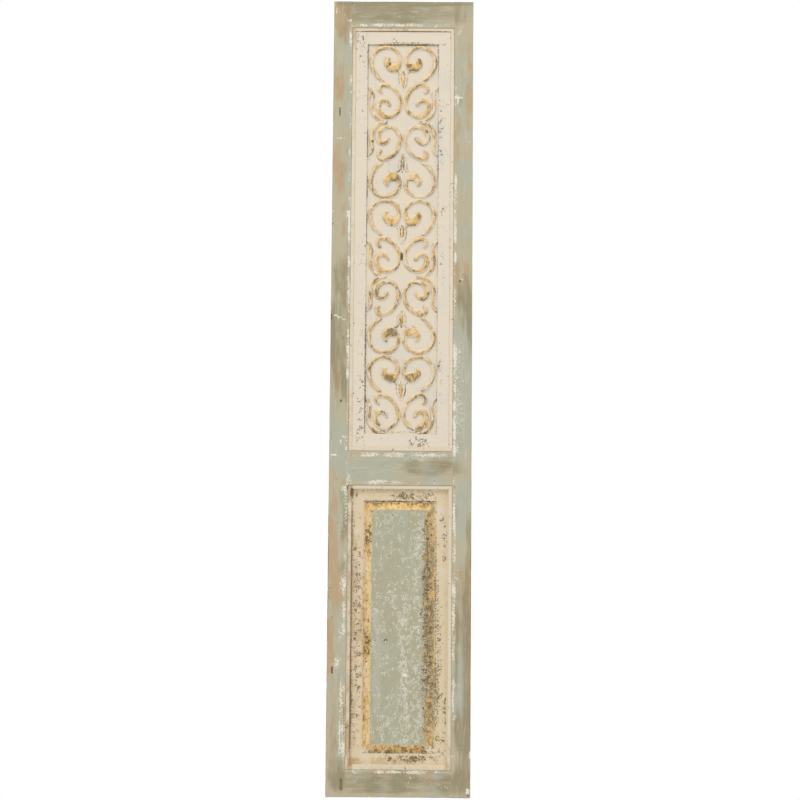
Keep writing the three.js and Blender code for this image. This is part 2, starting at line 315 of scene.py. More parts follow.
def tube_faces(rows, columns):
    """Faces of a closed tube of rows rings with columns points each, numbered ring by ring."""
    last = (rows - 1) * columns
    return quad_sheet(rows, columns, wrap=True).tolist() + [
        list(range(columns)), list(range(last, last + columns))]


def rounded_face(low, high, front, low_radius, high_radius, hollow=0.0):
    """Outline of a face, as (across, depth) in mm from its high edge to its low edge: a quarter
    round at each, and between them a hollow that follows half a sine."""
    turn = np.linspace(0, math.pi / 2, ARRIS_STEPS)
    face = spaced(high - high_radius, low + low_radius, FACE_STEP)[1:-1]
    across = [high - high_radius * (1 - np.cos(turn)), face,
              low + low_radius * (1 - np.sin(turn))]
    depth = [front + high_radius * (1 - np.sin(turn)),
             front + hollow * np.sin(math.pi * (face - low) / (high - low)),
             front + low_radius * (1 - np.cos(turn))]
    return np.stack([np.concatenate(across), np.concatenate(depth)], axis=-1)


def make_piece(node, points, faces, material, attributes):
    """A closed piece from points in mm, which stands for one CAD node, hides it and rides with the
    root body. Points that meet are merged and the faces turned outwards. attributes give a number
    for each point."""
    name = node.capitalize()
    mesh = bpy.data.meshes.new(name)
    mesh.from_pydata((points.reshape(-1, 3) * MM).tolist(), [], faces)
    for title, values in attributes.items():
        layer = mesh.attributes.new(title, "FLOAT", "POINT")
        layer.data.foreach_set("value", np.ascontiguousarray(values, np.float32).ravel())
    shell = bmesh.new()
    shell.from_mesh(mesh)
    bmesh.ops.remove_doubles(shell, verts=shell.verts, dist=WELD * MM)
    bmesh.ops.recalc_face_normals(shell, faces=shell.faces)
    shell.to_mesh(mesh)
    shell.free()
    mesh.polygons.foreach_set("use_smooth", np.ones(len(mesh.polygons), bool))
    mesh.set_sharp_from_angle(angle=SHARP_ANGLE)
    mesh.materials.append(material)
    piece = bpy.data.objects.new(name, mesh)
    bpy.context.scene.collection.objects.link(piece)
    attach(piece, "root")
    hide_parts(node)
    return piece


def node_limits(node):
    """Lowest and highest corner of a CAD node in mm, as arrays."""
    low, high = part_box(node)
    return np.array(low) / MM, np.array(high) / MM


# Boards of the frame

# Places on the paint, each (across, down, half width, half height, strength) in mm from the
# panel's top left corner. First come those where the paint is rubbed off to the bare wood.
BARE_SPOTS = [
    (0.5, 1330, 2, 210, 0.8), (0, 500, 1.5, 320, 0.45), (320, 1470, 3.5, 210, 1.0),
    (320, 1250, 2, 80, 0.7), (25.6, 923, 3.5, 4, 1.1), (35, 1772, 4, 12, 0.8),
    (160, 0, 170, 2.5, 0.6), (316, 1792, 5, 5, 0.7), (12.3, 1523, 3, 10, 0.5),
    (208, 1040, 12, 1.6, 0.7), (40, 1632, 2, 34, 0.5), (2, 733, 2.5, 9, 0.6),
    (300, 1796, 20, 3, 0.5),
]
# Chips down to the pale undercoat, and smears of it
CHIP_SPOTS = [
    (70, 56, 16, 3.5, 0.6), (110, 55, 20, 4, 0.7), (160, 55, 26, 3.5, 0.65),
    (192, 56, 12, 3, 0.5), (154, 36, 10, 4, 0.5), (36, 46, 6, 4, 0.9), (6, 23, 1.5, 7, 1.3),
    (38, 84, 4, 16, 0.6), (41, 186, 2, 3, 1.2), (41, 213, 1.6, 2.5, 1.2),
    (285.4, 225, 2.6, 2.6, 1.8), (287, 225, 9, 1.7, 1.4), (285.4, 231, 1.5, 12, 1.4),
    (290, 254, 3, 8, 0.6), (285.5, 76, 2, 2, 1.0), (288, 72.5, 2, 2, 1.0), (291, 69, 2, 2, 1.0),
    (294, 62, 2, 4, 0.7), (38, 496, 4.5, 9, 1.7), (40, 521, 2.5, 18, 1.4),
    (4, 490, 5, 1.8, 1.2), (20, 321, 11, 1.8, 1.3), (10, 729, 6, 1.8, 1.1),
    (20, 733, 6, 1.8, 1.1), (30, 738, 6, 1.8, 1.1), (281.8, 416, 1.8, 6, 1.1),
    (281, 596, 2.5, 12, 1.2), (297, 645, 2, 2, 1.2), (290, 890, 14, 130, 0.68),
    (281.5, 1003, 2.5, 4, 1.3), (284, 1030, 9, 12, 0.7),
    (33, 1004, 5, 1.8, 1.1), (26, 1016, 2, 6, 0.9), (38, 1030, 3, 5, 1.1),
    (10, 1045, 8, 1.8, 1.2), (24, 1008, 12, 16, 0.4), (70, 1047, 26, 3, 0.4),
    (120, 1051, 30, 6, 0.35), (190, 1053, 30, 5, 0.4), (240, 1047, 30, 7, 0.4),
    (92, 1092, 17, 7, 0.55), (45, 1098, 6, 12, 0.5), (112, 1103, 20, 4, 0.45),
    (33, 1120, 6, 8, 0.75), (268, 1085, 8, 14, 0.45), (30, 1190, 4, 40, 0.5),
    (28, 1270, 4, 50, 0.2), (30, 1335, 5, 24, 0.4), (31, 1450, 5, 24, 0.5),
    (25, 1505, 9, 17, 0.75), (32, 1575, 2.5, 40, 0.85), (31, 1660, 1.6, 44, 0.75),
    (283.5, 1270, 1.3, 115, 0.65), (287, 1320, 3, 8, 0.8), (293, 1300, 7, 2, 0.7),
    (290, 1550, 12, 14, 0.6), (286, 1625, 5, 8, 0.6), (300, 1585, 6, 8, 0.5),
    (318, 1706, 1.8, 10, 1.3), (314, 1785, 4.5, 8, 1.5), (120, 1760, 60, 8, 0.35),
    (215, 1755, 30, 4, 0.5), (245, 1774, 30, 8, 0.5), (150, 1745, 40, 2, 0.5),
]
# Small chips along the edges of the openings, broken up by noise
EDGE_CHIPS = [
    (40.5, 560, 4, 520, 0.72), (280, 560, 4.5, 520, 0.46), (160, 56, 118, 5, 0.52),
    (160, 1043, 120, 5.5, 0.6), (160, 1106, 118, 6, 0.5), (39, 1460, 5, 280, 0.55),
    (280.5, 1420, 4, 320, 0.52), (160, 1744, 118, 5, 0.65),
    (30, 1480, 10, 270, 0.3), (281, 490, 4, 110, 0.25), (280, 680, 3, 60, 0.5),
    (280, 960, 3.5, 40, 0.6), (280, 1190, 3, 50, 0.6), (280, 1310, 3, 40, 0.5),
    (40.5, 640, 3, 30, 0.5),
]
# Patches of the cooler second coat, of the warm wash and of the dark olive wash
COOL_SPOTS = [
    (34, 120, 9, 34, 0.8), (33, 250, 8, 44, 0.9), (37, 400, 4, 200, 0.5), (34, 620, 8, 100, 0.2),
    (290, 120, 12, 40, 0.4), (296, 260, 14, 70, 0.5), (305, 430, 12, 60, 0.4),
    (292, 400, 14, 60, 0.4), (296, 830, 22, 70, 0.9), (290, 960, 16, 90, 1.0),
    (312, 900, 9, 150, 0.7), (302, 1150, 17, 60, 1.0), (296, 1240, 12, 60, 0.5),
    (290, 1560, 14, 60, 0.9), (24, 1010, 20, 50, 0.4), (30, 1180, 10, 60, 0.5),
    (34, 1420, 6, 120, 0.5), (30, 1690, 7, 60, 0.5), (100, 1078, 90, 26, 0.7),
    (130, 45, 60, 10, 0.5), (230, 1750, 60, 18, 0.3), (240, 50, 40, 8, 0.4),
]
WARM_SPOTS = [
    (15, 40, 16, 46, 0.9), (14, 182, 13, 44, 1.0), (313, 130, 6, 40, 0.8),
    (312, 250, 7, 64, 0.8), (284, 325, 8, 56, 0.8), (18, 362, 18, 44, 0.8),
    (16, 432, 16, 24, 0.7), (26, 480, 7, 16, 0.8), (28, 525, 5, 26, 0.9), (28, 605, 6, 20, 0.8),
    (28, 690, 8, 22, 0.8), (22, 880, 12, 40, 0.5), (296, 655, 16, 50, 0.6),
    (283, 622, 4, 8, 0.7), (307, 618, 4, 6, 0.5), (10, 1230, 10, 110, 0.75),
    (6, 1340, 7, 60, 0.6), (8, 1470, 8, 80, 0.7), (20, 1300, 22, 220, 0.3),
    (316, 1430, 6, 160, 0.9), (300, 1370, 20, 90, 0.3), (8, 1730, 8, 40, 0.35),
    (250, 1750, 60, 20, 0.5), (60, 22, 50, 20, 0.35), (245, 1080, 40, 14, 0.5),
    (120, 1740, 70, 16, 0.3),
]
OLIVE_SPOTS = [
    (160, 3, 170, 7, 0.7), (160, 26, 170, 30, 0.8), (20, 745, 22, 125, 0.75),
    (20, 620, 20, 60, 0.25), (300, 700, 18, 70, 0.75), (18, 860, 16, 60, 0.35),
    (300, 1390, 18, 90, 0.6), (302, 1690, 20, 90, 0.85), (24, 1640, 20, 90, 0.45),
    (160, 1768, 150, 26, 0.85), (235, 1072, 64, 18, 0.65), (286, 1460, 6, 120, 0.4),
    (24, 1750, 20, 40, 0.6), (33, 885, 7, 40, 0.9), (36, 1190, 9, 50, 0.8), (4, 770, 6, 70, 0.6),
    (33, 1300, 7, 30, 0.5), (20, 78, 22, 30, 0.5), (312, 1540, 10, 170, 0.7),
    (314, 740, 7, 80, 0.7), (314, 1240, 7, 70, 0.5),
]
# Splits, knots and slits, with their depth in mm in place of the strength
HOLLOWS = [
    (15.9, 259, 1.2, 9, 1.6), (12.3, 1523, 2, 8, 0.9), (35, 1772, 3, 12, 0.9),
    (40, 1632, 0.9, 32, 1.0), (43.4, 1118.8, 2.4, 3.2, 2.2), (292, 649, 3, 1.6, 0.7),
    (2.5, 733, 2, 8, 0.5), (25.6, 923, 2.6, 2.6, 0.5),
]


def board_section(low, high, groove_low, groove_high, arrises):
    """Closed outline of a board's section, as (across, depth) in mm. It runs from the back's
    low edge to its high edge, down the high side with its groove, over the front with a quarter
    round at each edge, and up the low side."""
    sizes = sizes_in_mm()
    groove = np.array([[0, -sizes.groove_back], [sizes.groove_depth, -sizes.groove_back],
                       [sizes.groove_depth, -sizes.groove_front], [0, -sizes.groove_front]])
    parts = [[[low, 0], [high, 0]]]
    if groove_high:
        parts.append(groove * (-1, 1) + (high, 0))
    parts.append(rounded_face(low, high, FRONT, *arrises))
    if groove_low:
        parts.append(groove[::-1] + (low, 0))
    return np.concatenate(parts)


def worn_board(node, upright, groove_low, groove_high, arrises, seed):
    """A board of the frame: its section carried along the grain, with the front eased at the
    ends, dented, and rubbed back along the edges. A rail has a stub tenon at each end."""
    sizes = sizes_in_mm()
    low, high = node_limits(node)
    across, along = (0, 2) if upright else (2, 0)
    groove = sizes.groove_depth
    tenon = 0 if upright else groove - END_GAP
    start, end = low[along] + tenon, high[along] - tenon
    section = board_section(low[across], high[across], groove_low, groove_high, arrises)
    stations = np.concatenate([start + END_EASING,
                               spaced(start + EVEN_FROM, end - EVEN_FROM, ALONG_STEP),
                               end - END_EASING[::-1]])
    points = np.zeros((len(stations), len(section), 3))
    points[..., across] = section[:, 0]
    points[..., 1] = section[:, 1]
    points[..., along] = stations[:, None]

    end_radius = max(arrises)
    from_end = np.minimum(stations - start, end - stations)[:, None]
    reach = np.clip(end_radius - from_end, 0, end_radius) if upright else 0
    eased = end_radius - np.sqrt(end_radius ** 2 - reach ** 2)
    facing = smoothstep((-points[..., 1] - WORN_DEPTH) / 8)
    dent = patches(points, HOLLOWS) + 0.1 * (1 + lattice_noise(points, 26, seed))
    dent += 0.35 * np.clip(lattice_noise(points, (5, 5, 9), seed + 1) - 0.45, 0, 1)
    points[..., 1] += facing * dent
    points[..., 1] = np.maximum(points[..., 1], FRONT + eased)
    outer_edge, inwards = (low[across], 1) if arrises[0] > arrises[1] else (high[across], -1)
    from_outer = np.abs(points[..., across] - outer_edge)
    nick = 0.25 * (1 + lattice_noise(points, 34, seed + 2))
    nick += 1.3 * np.clip(lattice_noise(points, 8, seed + 3) - 0.5, 0, 1)
    points[..., across] += inwards * nick * facing * smoothstep((3 - from_outer) / 3)

    if tenon:
        held_across = np.clip(section[:, 0], low[across] + (groove if groove_low else 0),
                              high[across] - (groove if groove_high else 0))
        rings = np.zeros((4, len(section), 3))
        rings[..., across] = held_across
        rings[..., 1] = np.clip(section[:, 1], -sizes.tongue_front, -sizes.tongue_back)
        rings[..., along] = np.array([low[along], start, end, high[along]])[:, None]
        points = np.concatenate([rings[:2], points, rings[2:]])
    return points, tube_faces(*points.shape[:2])


def add_frame_board(node, upright, groove_low, groove_high, arrises, seed):
    """Makes a board of the frame with its paint outside and bare wood on its back and ends."""
    points, faces = worn_board(node, upright, groove_low, groove_high, arrises, seed)
    flat = points.reshape(-1, 3)
    attributes = {
        "bare": patches(flat, BARE_SPOTS) + 0.25 * lattice_noise(flat, 45, seed + 5)
        + 2 * unpainted(flat),
        "chips": patches(flat, CHIP_SPOTS)
        + patches(flat, EDGE_CHIPS) * (1 + 1.2 * lattice_noise(flat, (14, 14, 18), seed + 10))
        + 0.5 * np.clip(lattice_noise(flat, (24, 24, 60), seed + 12), 0, 1),
        "cool": patches(flat, COOL_SPOTS) + 0.3 * lattice_noise(flat, (30, 30, 60), seed + 6),
        "warm": patches(flat, WARM_SPOTS) * (1 + 0.8 * lattice_noise(flat, (9, 9, 24), seed + 11))
        + 0.45 * lattice_noise(flat, (20, 20, 44), seed + 7),
        "olive": patches(flat, OLIVE_SPOTS) + 0.3 * lattice_noise(flat, (26, 26, 60), seed + 8),
        "specks": 0.3 * lattice_noise(flat, 30, seed + 9) - 0.25,
        "wax": 1.4 * smoothstep(patches(flat, HOLLOWS) / 0.6),
    }
    finish = finish_material("Brushed sage paint on softwood, "
                             + ("upright" if upright else "level"))
    return make_piece(node, points, faces, finish, attributes)


# The carving

# Strokes of half a unit, each with its start (out from the middle, down), its heading in degrees
# and how far it lies below the other crests. Its runs are arcs of (length, degrees turned) and
# its widths are (share of the length, share of the crest's width).
HEART_SCROLL = {
    "start": (47.7, 81.9), "heading": 31, "sink": 0.0,
    "runs": [(53, 60), (79.5, 136), (26.9, 56), (39, 148), (11.5, 66)],
    "widths": [(0, .8), (.1, 1), (.7, 1), (.77, 1.15), (.86, 3.5), (.93, 2.5), (.98, 1.2),
               (1, .5)],
}
C_SCROLL = {
    "start": (50.5, 110.5), "heading": 37, "sink": 0.0,
    "runs": [(28.9, 156), (55.4, 68), (37.2, 63.5), (57.8, 141), (22.2, 111.5), (10.9, 31)],
    "widths": [(0, .6), (.04, 1.2), (.12, 1.2), (.3, 1), (.6, 1), (.72, 1.5), (.9, 1.4),
               (1, .7)],
}
SIDE_SPRIG = {
    "start": (39, 177.9), "heading": 2, "sink": 0.0,
    "runs": [(49.5, 85), (24.1, 13), (27.6, -70)],
    "widths": [(0, .9), (.2, 1), (.75, .95), (1, .4)],
}
OUTER_PETAL = {
    "start": (0.6, 103), "heading": 61, "sink": 2.6,
    "runs": [(29.7, 34), (15.7, -75)],
    "widths": [(0, .3), (.35, .8), (.6, 1), (.85, .6), (1, .2)],
}
MIDDLE_PETAL = {
    "start": (0, 98), "heading": 90, "sink": 2.6,
    "runs": [(36, 0)],
    "widths": [(0, .2), (.5, 1.1), (1, .15)],
}
STROKES = [HEART_SCROLL, C_SCROLL, SIDE_SPRIG, OUTER_PETAL, MIDDLE_PETAL]


def trace(stroke, step):
    """Points along a chain of arcs, no further apart than step, with each point's share of the
    whole length and its bend radius. An arc's direction turns evenly with its length, so its
    points are the integrals of the direction's cosine and sine."""
    place = np.array(stroke["start"], float)
    angle = math.radians(stroke["heading"])
    whole = sum(length for length, sweep in stroke["runs"])
    travelled = 0
    points, shares, radii = [], [], []
    for length, sweep in stroke["runs"]:
        run = spaced(0, length, step)
        bend = math.radians(sweep) / length
        if bend:
            moved = np.stack([(np.sin(angle + bend * run) - math.sin(angle)) / bend,
                              (np.cos(angle + bend * run) - math.cos(angle)) / bend], axis=-1)
        else:
            moved = np.stack([run * math.cos(angle), -run * math.sin(angle)], axis=-1)
        points.append(place + moved)
        shares.append((travelled + run) / whole)
        radii.append(np.full(len(run), 1 / abs(bend) if bend else STRAIGHT_RADIUS))
        place = place + moved[-1]
        angle += bend * length
        travelled += length
    return np.concatenate(points), np.concatenate(shares), np.concatenate(radii)


def carving_maps():
    """Maps of half a unit, on a grid of MAP_STEP mm from the middle line outwards and from the
    unit's top down: height above the ground, distance inside the nearest crest, wax in the
    hollow round a crest, share of a scroll's bulb, share of the middle petal, and closeness to
    a crest's edge."""
    sizes = sizes_in_mm()
    outs = np.arange(0, DRAWN_HALF_WIDTH + 1.5 * MAP_STEP, MAP_STEP)
    downs = np.arange(0, DRAWN_HEIGHT + 1.5 * MAP_STEP, MAP_STEP)
    out, down = np.meshgrid(outs, downs)
    height, wax, bulb, petal, rim = np.zeros((5, *out.shape))
    inside = np.full(out.shape, -FAR)
    for stroke in STROKES:
        path, shares, radii = trace(stroke, TRACE_STEP)
        halves = np.minimum(between(stroke["widths"], shares) * sizes.crest_width / 2,
                            CREST_SHARE_OF_BEND * radii)
        outside = np.full(out.shape, FAR)
        share_there = np.zeros(out.shape)
        for a, b, half_a, half_b, share in zip(path[:-1], path[1:], halves[:-1], halves[1:],
                                               shares):
            span = b - a
            if not span.any():
                continue
            t = np.clip(((out - a[0]) * span[0] + (down - a[1]) * span[1]) / (span @ span),
                        0, 1)
            gap = np.hypot(out - a[0] - t * span[0], down - a[1] - t * span[1])
            gap -= half_a + t * (half_b - half_a)
            nearer = gap < outside
            outside = np.where(nearer, gap, outside)
            share_there = np.where(nearer, share, share_there)
        rise = sizes.field_sink - stroke["sink"]
        flank = sizes.flank_width * rise / sizes.field_sink
        slope = np.clip(1 - outside / flank, 0, 1)
        body = rise * (0.55 * slope + 0.45 * smoothstep(slope))
        body += sizes.crest_crown * smoothstep(-outside / 2.8) * (outside < 0)
        height = np.maximum(height, body)
        nearest = -outside > inside
        inside = np.where(nearest, -outside - (PETAL_RIM if stroke is OUTER_PETAL else 0), inside)
        petal = np.where(nearest, float(stroke is MIDDLE_PETAL), petal)
        is_bulb = (smoothstep((share_there - BULB_START) / BULB_GROWTH)
                   if stroke is HEART_SCROLL else 0.0)
        bulb = np.where(nearest, is_bulb, bulb)
        round_crest = np.exp(-((outside - flank * 0.75) / 1.3) ** 2)
        round_crest *= 0.85 * smoothstep((PETAL_FADE - down) / 8) if stroke["sink"] else 0.4
        wax = np.where(outside > 0, np.maximum(wax, round_crest),
                       wax * smoothstep(1 + outside / 1.5))
        rim = np.where(nearest, np.exp(-((outside - 0.3) / 1.1) ** 2), rim)
    return {"height": height, "inside": inside, "wax": wax, "bulb": bulb, "petal": petal,
            "rim": rim}


def read_map(values, out, down):
    """The map's value at each place, blended between the four grid points round it."""
    column = np.clip(out / MAP_STEP, 0, values.shape[1] - 1.001)
    row = np.clip(down / MAP_STEP, 0, values.shape[0] - 1.001)
    i, j = row.astype(int), column.astype(int)
    s, t = row - i, column - j
    return ((values[i, j] * (1 - t) + values[i, j + 1] * t) * (1 - s)
            + (values[i + 1, j] * (1 - t) + values[i + 1, j + 1] * t) * s)


def flat_sheet(half, middle, step, depth):
    """A level grid of points over a rectangle of this half size about the middle, with the
    places of its columns and its rows."""
    x = spaced(-half[0], half[0], step)
    z = spaced(-half[2], half[2], step) + middle[2]
    return np.stack(np.broadcast_arrays(x, depth, z[:, None]), axis=-1), x, z


def rimmed_board(sheet, rims):
    """A closed board. sheet is a grid of points (rows up, columns to the right) seen from the
    front. Its edge is repeated in each rim, (half width, half height, depth), with the edge
    stretched to that rectangle about the sheet's middle, and the last rim is closed by a flat
    back. Returns the points, the faces and each rim point's place in the list of rims."""
    rows, columns = sheet.shape[:2]
    numbers = np.arange(rows * columns).reshape(rows, columns)
    loop = np.concatenate([numbers[0, :-1], numbers[:-1, -1], numbers[-1, :0:-1],
                           numbers[:0:-1, 0]])
    flat = sheet.reshape(-1, 3)
    edge = flat[loop]
    centre = (edge.max(0) + edge.min(0)) / 2
    half = (edge.max(0) - edge.min(0)) / 2
    rings = []
    for half_width, half_height, depth in rims:
        ring = centre + (edge - centre) * (half_width / half[0], 1, half_height / half[2])
        ring[:, 1] = depth
        rings.append(ring)
    count = len(loop)
    joints = np.concatenate([loop[None], rows * columns
                             + np.arange(len(rims) * count).reshape(len(rims), count)])
    ahead = np.roll(joints, -1, axis=1)
    skirts = np.stack([ahead[:-1], joints[:-1], joints[1:], ahead[1:]], axis=-1)
    faces = np.concatenate([quad_sheet(rows, columns), skirts.reshape(-1, 4)]).tolist()
    last = joints[-1].tolist()
    right = last[columns - 1:columns + rows - 1]
    left = (last[2 * columns + rows - 3:] + last[:1])[::-1]
    bottom, top = last[:columns], last[columns + rows - 2:2 * columns + rows - 2]
    faces.append([left[1], right[1]] + bottom[::-1])
    faces += [[left[n + 1], right[n + 1], right[n], left[n]] for n in range(1, rows - 2)]
    faces.append(top[::-1] + [right[rows - 2], left[rows - 2]])
    return np.concatenate([flat, *rings]), faces, np.repeat(np.arange(len(rims)), count)


# Tone of the leaf in each unit from the top down: left scrolls, right scrolls, left bulb and
# right bulb, from -1 for leaf gone grey to 1 for bright leaf
LEAF_TONES = np.array([
    [0.3, 0.2, 1.0, -1.3],
    [0.3, 0.4, 0.1, 0.6],
    [-0.1, 0.0, 0.0, -0.2],
    [-0.4, 0.1, -1.5, 0.3],
    [-0.2, -0.1, -1.3, -1.2],
])
# How much of that leaf is lost, from 0 to 1
LEAF_LOSS = np.array([
    [0.1, 0.15, 0.0, 0.1],
    [0.25, 0.35, 0.35, 0.8],
    [0.15, 0.25, 0.1, 0.05],
    [0.3, 0.15, 0.5, 0.5],
    [0.3, 0.25, 0.35, 0.2],
])
# Tone and loss of the leaf on the middle petal of each unit
PETAL_TONES = np.array([0.5, -1.6, 0.2, -0.7, -0.4])
PETAL_LOSS = np.array([-0.5, 0.9, 0.6, 0.2, 0.5])
# Marks on the carved board: dark wax, which along the field's top and left edges is also painted
# shadow of the walls, specks of wax, the greyer coat and gilt on the top edge
CARVED_WAX_AND_SHADOW_SPOTS = [
    (170, 100, 76, 2.4, 0.75), (79, 130, 2, 34, 0.6), (240, 132, 2, 30, 0.5),
    (79, 240, 2, 60, 0.25), (79.5, 330, 2.2, 34, 0.6), (80, 430, 2.2, 34, 0.6),
    (80, 520, 2.2, 40, 0.5), (240.5, 395, 2.2, 28, 0.6), (241, 300, 2, 60, 0.3),
    (91, 327, 2.6, 2.6, 1.6), (159, 592, 3, 9, 1.3), (129, 146, 2.6, 3.4, 1.8),
    (79.5, 850, 2.6, 165, 0.65), (240, 620, 2, 160, 0.15), (160, 992, 90, 3, 0.4),
    (240, 880, 2, 90, 0.25),
]
CARVED_SPECK_SPOTS = [
    (160, 545, 77, 440, -0.5),
    (62, 88, 11, 13, 0.8), (66, 128, 9, 26, 0.5), (180, 99, 70, 5, 0.9), (77, 330, 3, 230, 0.4),
    (245, 300, 6, 60, 0.65), (247, 380, 6, 26, 0.6), (68, 860, 7, 50, 0.4),
    (66, 985, 8, 60, 0.5), (74, 700, 5, 160, 0.35), (250, 600, 8, 120, 0.25),
    (160, 990, 80, 8, 0.35), (245, 880, 7, 90, 0.4), (199, 1014, 26, 13, 1.1),
]
CARVED_GREY_SPOTS = [
    (246, 330, 12, 50, 0.8), (72, 150, 10, 40, 0.4), (250, 620, 10, 100, 0.3),
    (160, 380, 40, 30, 0.2),
]
CARVED_EDGE_LEAF = [(160, 97, 88, 3, 9.5)]
# Marks on the raised board: dark wax, which in the quirk, down the left of the margin and on the
# bevel's right side is also painted shade, specks, which on the bevel's right side are part of
# that painted shade, chips, flaked paint and the two washes
RAISED_WAX_AND_SHADE_SPOTS = [
    (160, 1147, 76, 2.5, 0.35), (54, 1330, 3, 210, 0.42), (54, 1620, 3, 110, 0.65),
    (228, 1440, 18, 250, 0.42), (160, 1703, 74, 2.5, 0.4), (160, 1166, 66, 2.0, 0.35),
    (160, 1153, 76, 2.5, 0.2), (130.4, 1457, 3.6, 3.6, 1.6), (66, 1430, 9, 270, 0.04),
    (247, 1500, 4, 190, 0.4), (80, 1430, 2, 260, 0.35),
]
RAISED_SPECK_SPOTS = [
    (182, 1136, 56, 9, 1.15), (57, 1400, 5, 300, 0.42), (182, 1716, 56, 8, 1.15),
    (261, 1235, 6, 60, 0.8), (263, 1640, 6, 80, 0.95), (222, 1420, 14, 250, 1.1),
    (90, 1230, 8, 34, 1.0), (90, 1465, 8, 30, 1.0), (90, 1400, 8, 240, 0.4),
    (69, 1380, 10, 160, 0.78), (69, 1600, 10, 110, 0.45), (60, 1127, 9, 12, 1.0),
    (160, 1695, 76, 9, 0.9), (160, 1150, 78, 5, 0.75), (250, 1560, 8, 170, 0.7),
]
RAISED_CHIP_SPOTS = [
    (86, 1295, 8, 34, 0.8), (86, 1545, 8, 60, 0.8), (88, 1380, 6, 40, 0.6), (86, 1440, 8, 30, 0.6),
    (222, 1600, 14, 90, 0.15), (222, 1420, 12, 260, 0.55), (174, 1532.5, 6, 4, 1.7),
    (130.8, 1459, 1.7, 1.7, 1.9), (88, 1697, 14, 9, 0.9), (232, 1697, 14, 9, 0.9),
    (160, 1690, 60, 8, 0.45), (70, 1420, 8, 240, 0.25),
]
FLAKE_SPOTS = [
    (186, 1560, 28, 130, 0.3), (175, 1380, 34, 110, 0.45), (172, 1490, 9, 165, 0.9),
    (173, 1590, 6, 110, 0.5), (206, 1640, 8, 60, 0.6),
    (200, 1230, 20, 60, 0.6), (120, 1390, 18, 60, 0.5), (150, 1660, 50, 40, 0.5),
    (120, 1180, 26, 18, 0.4), (210, 1430, 16, 220, 0.5),
]
RAISED_WARM_SPOTS = [
    (160, 1725, 108, 14, 0.5), (60, 1420, 10, 300, 0.4), (160, 1122, 100, 8, 0.3),
    (64, 1726, 14, 12, 0.5), (76, 1430, 6, 60, 0.5),
]
RAISED_COOL_SPOTS = [(112, 1500, 9, 130, 0.6), (150, 1250, 60, 60, 0.2)]
# Brighter and darker stretches of the leaf on the bevel: a painted highlight down its left side,
# which faces the light, and painted shade down its right side, which faces away from it
BEVEL_LIGHT_AND_TONES = [
    (160, 1158, 80, 9, -0.35), (90, 1350, 10, 60, 0.9), (227, 1440, 20, 230, -0.75),
    (228, 1250, 14, 90, -0.5), (90, 1230, 10, 30, -0.6), (90, 1465, 10, 30, -0.9),
    (160, 1694, 80, 10, -0.3), (217, 1425, 9, 262, -0.2), (90, 1425, 10, 262, 0.7),
]


def blended(leaf_table, petal_table, unit, side, maps):
    """Values from the tables of the leaf: those of the scrolls, turning into those of the
    bulbs and of the middle petals by the shares in the maps."""
    scroll, bulb = leaf_table[unit, side], leaf_table[unit, 2 + side]
    values = scroll + (bulb - scroll) * maps["bulb"]
    return values + (petal_table[unit] - values) * maps["petal"]


def carved_rims(half, sizes):
    """Half size of the carved board's ground, and the rims round it: the sloping wall, the
    border, and then its edge and the tongue, which are hidden."""
    edge = half - (sizes.groove_depth - TONGUE_ROOM) - sizes.moulding_width - BORDER_GAP
    wall = edge - (sizes.border_at_sides, 0, sizes.border_at_ends)
    ground = wall - sizes.wall_run
    front = -sizes.border_front
    rims = [(ground[0] + share * sizes.wall_run, ground[2] + share * sizes.wall_run,
             front + sizes.field_sink * (1 - rise)) for share, rise in WALL_STEPS]
    stretch = sizes.border_at_ends / sizes.border_at_sides
    rims += [(wall[0] + at, wall[2] + at * stretch, front)
             for at in spaced(0.6, sizes.border_at_sides - 0.5, BORDER_STEP)]
    rims += [(edge[0] - 0.15, edge[2] - 0.15, front + 0.15), (edge[0], edge[2], front + 0.5),
             (edge[0], edge[2], -sizes.tongue_front), (half[0], half[2], -sizes.tongue_front),
             (half[0], half[2], -sizes.tongue_back)]
    return ground, rims


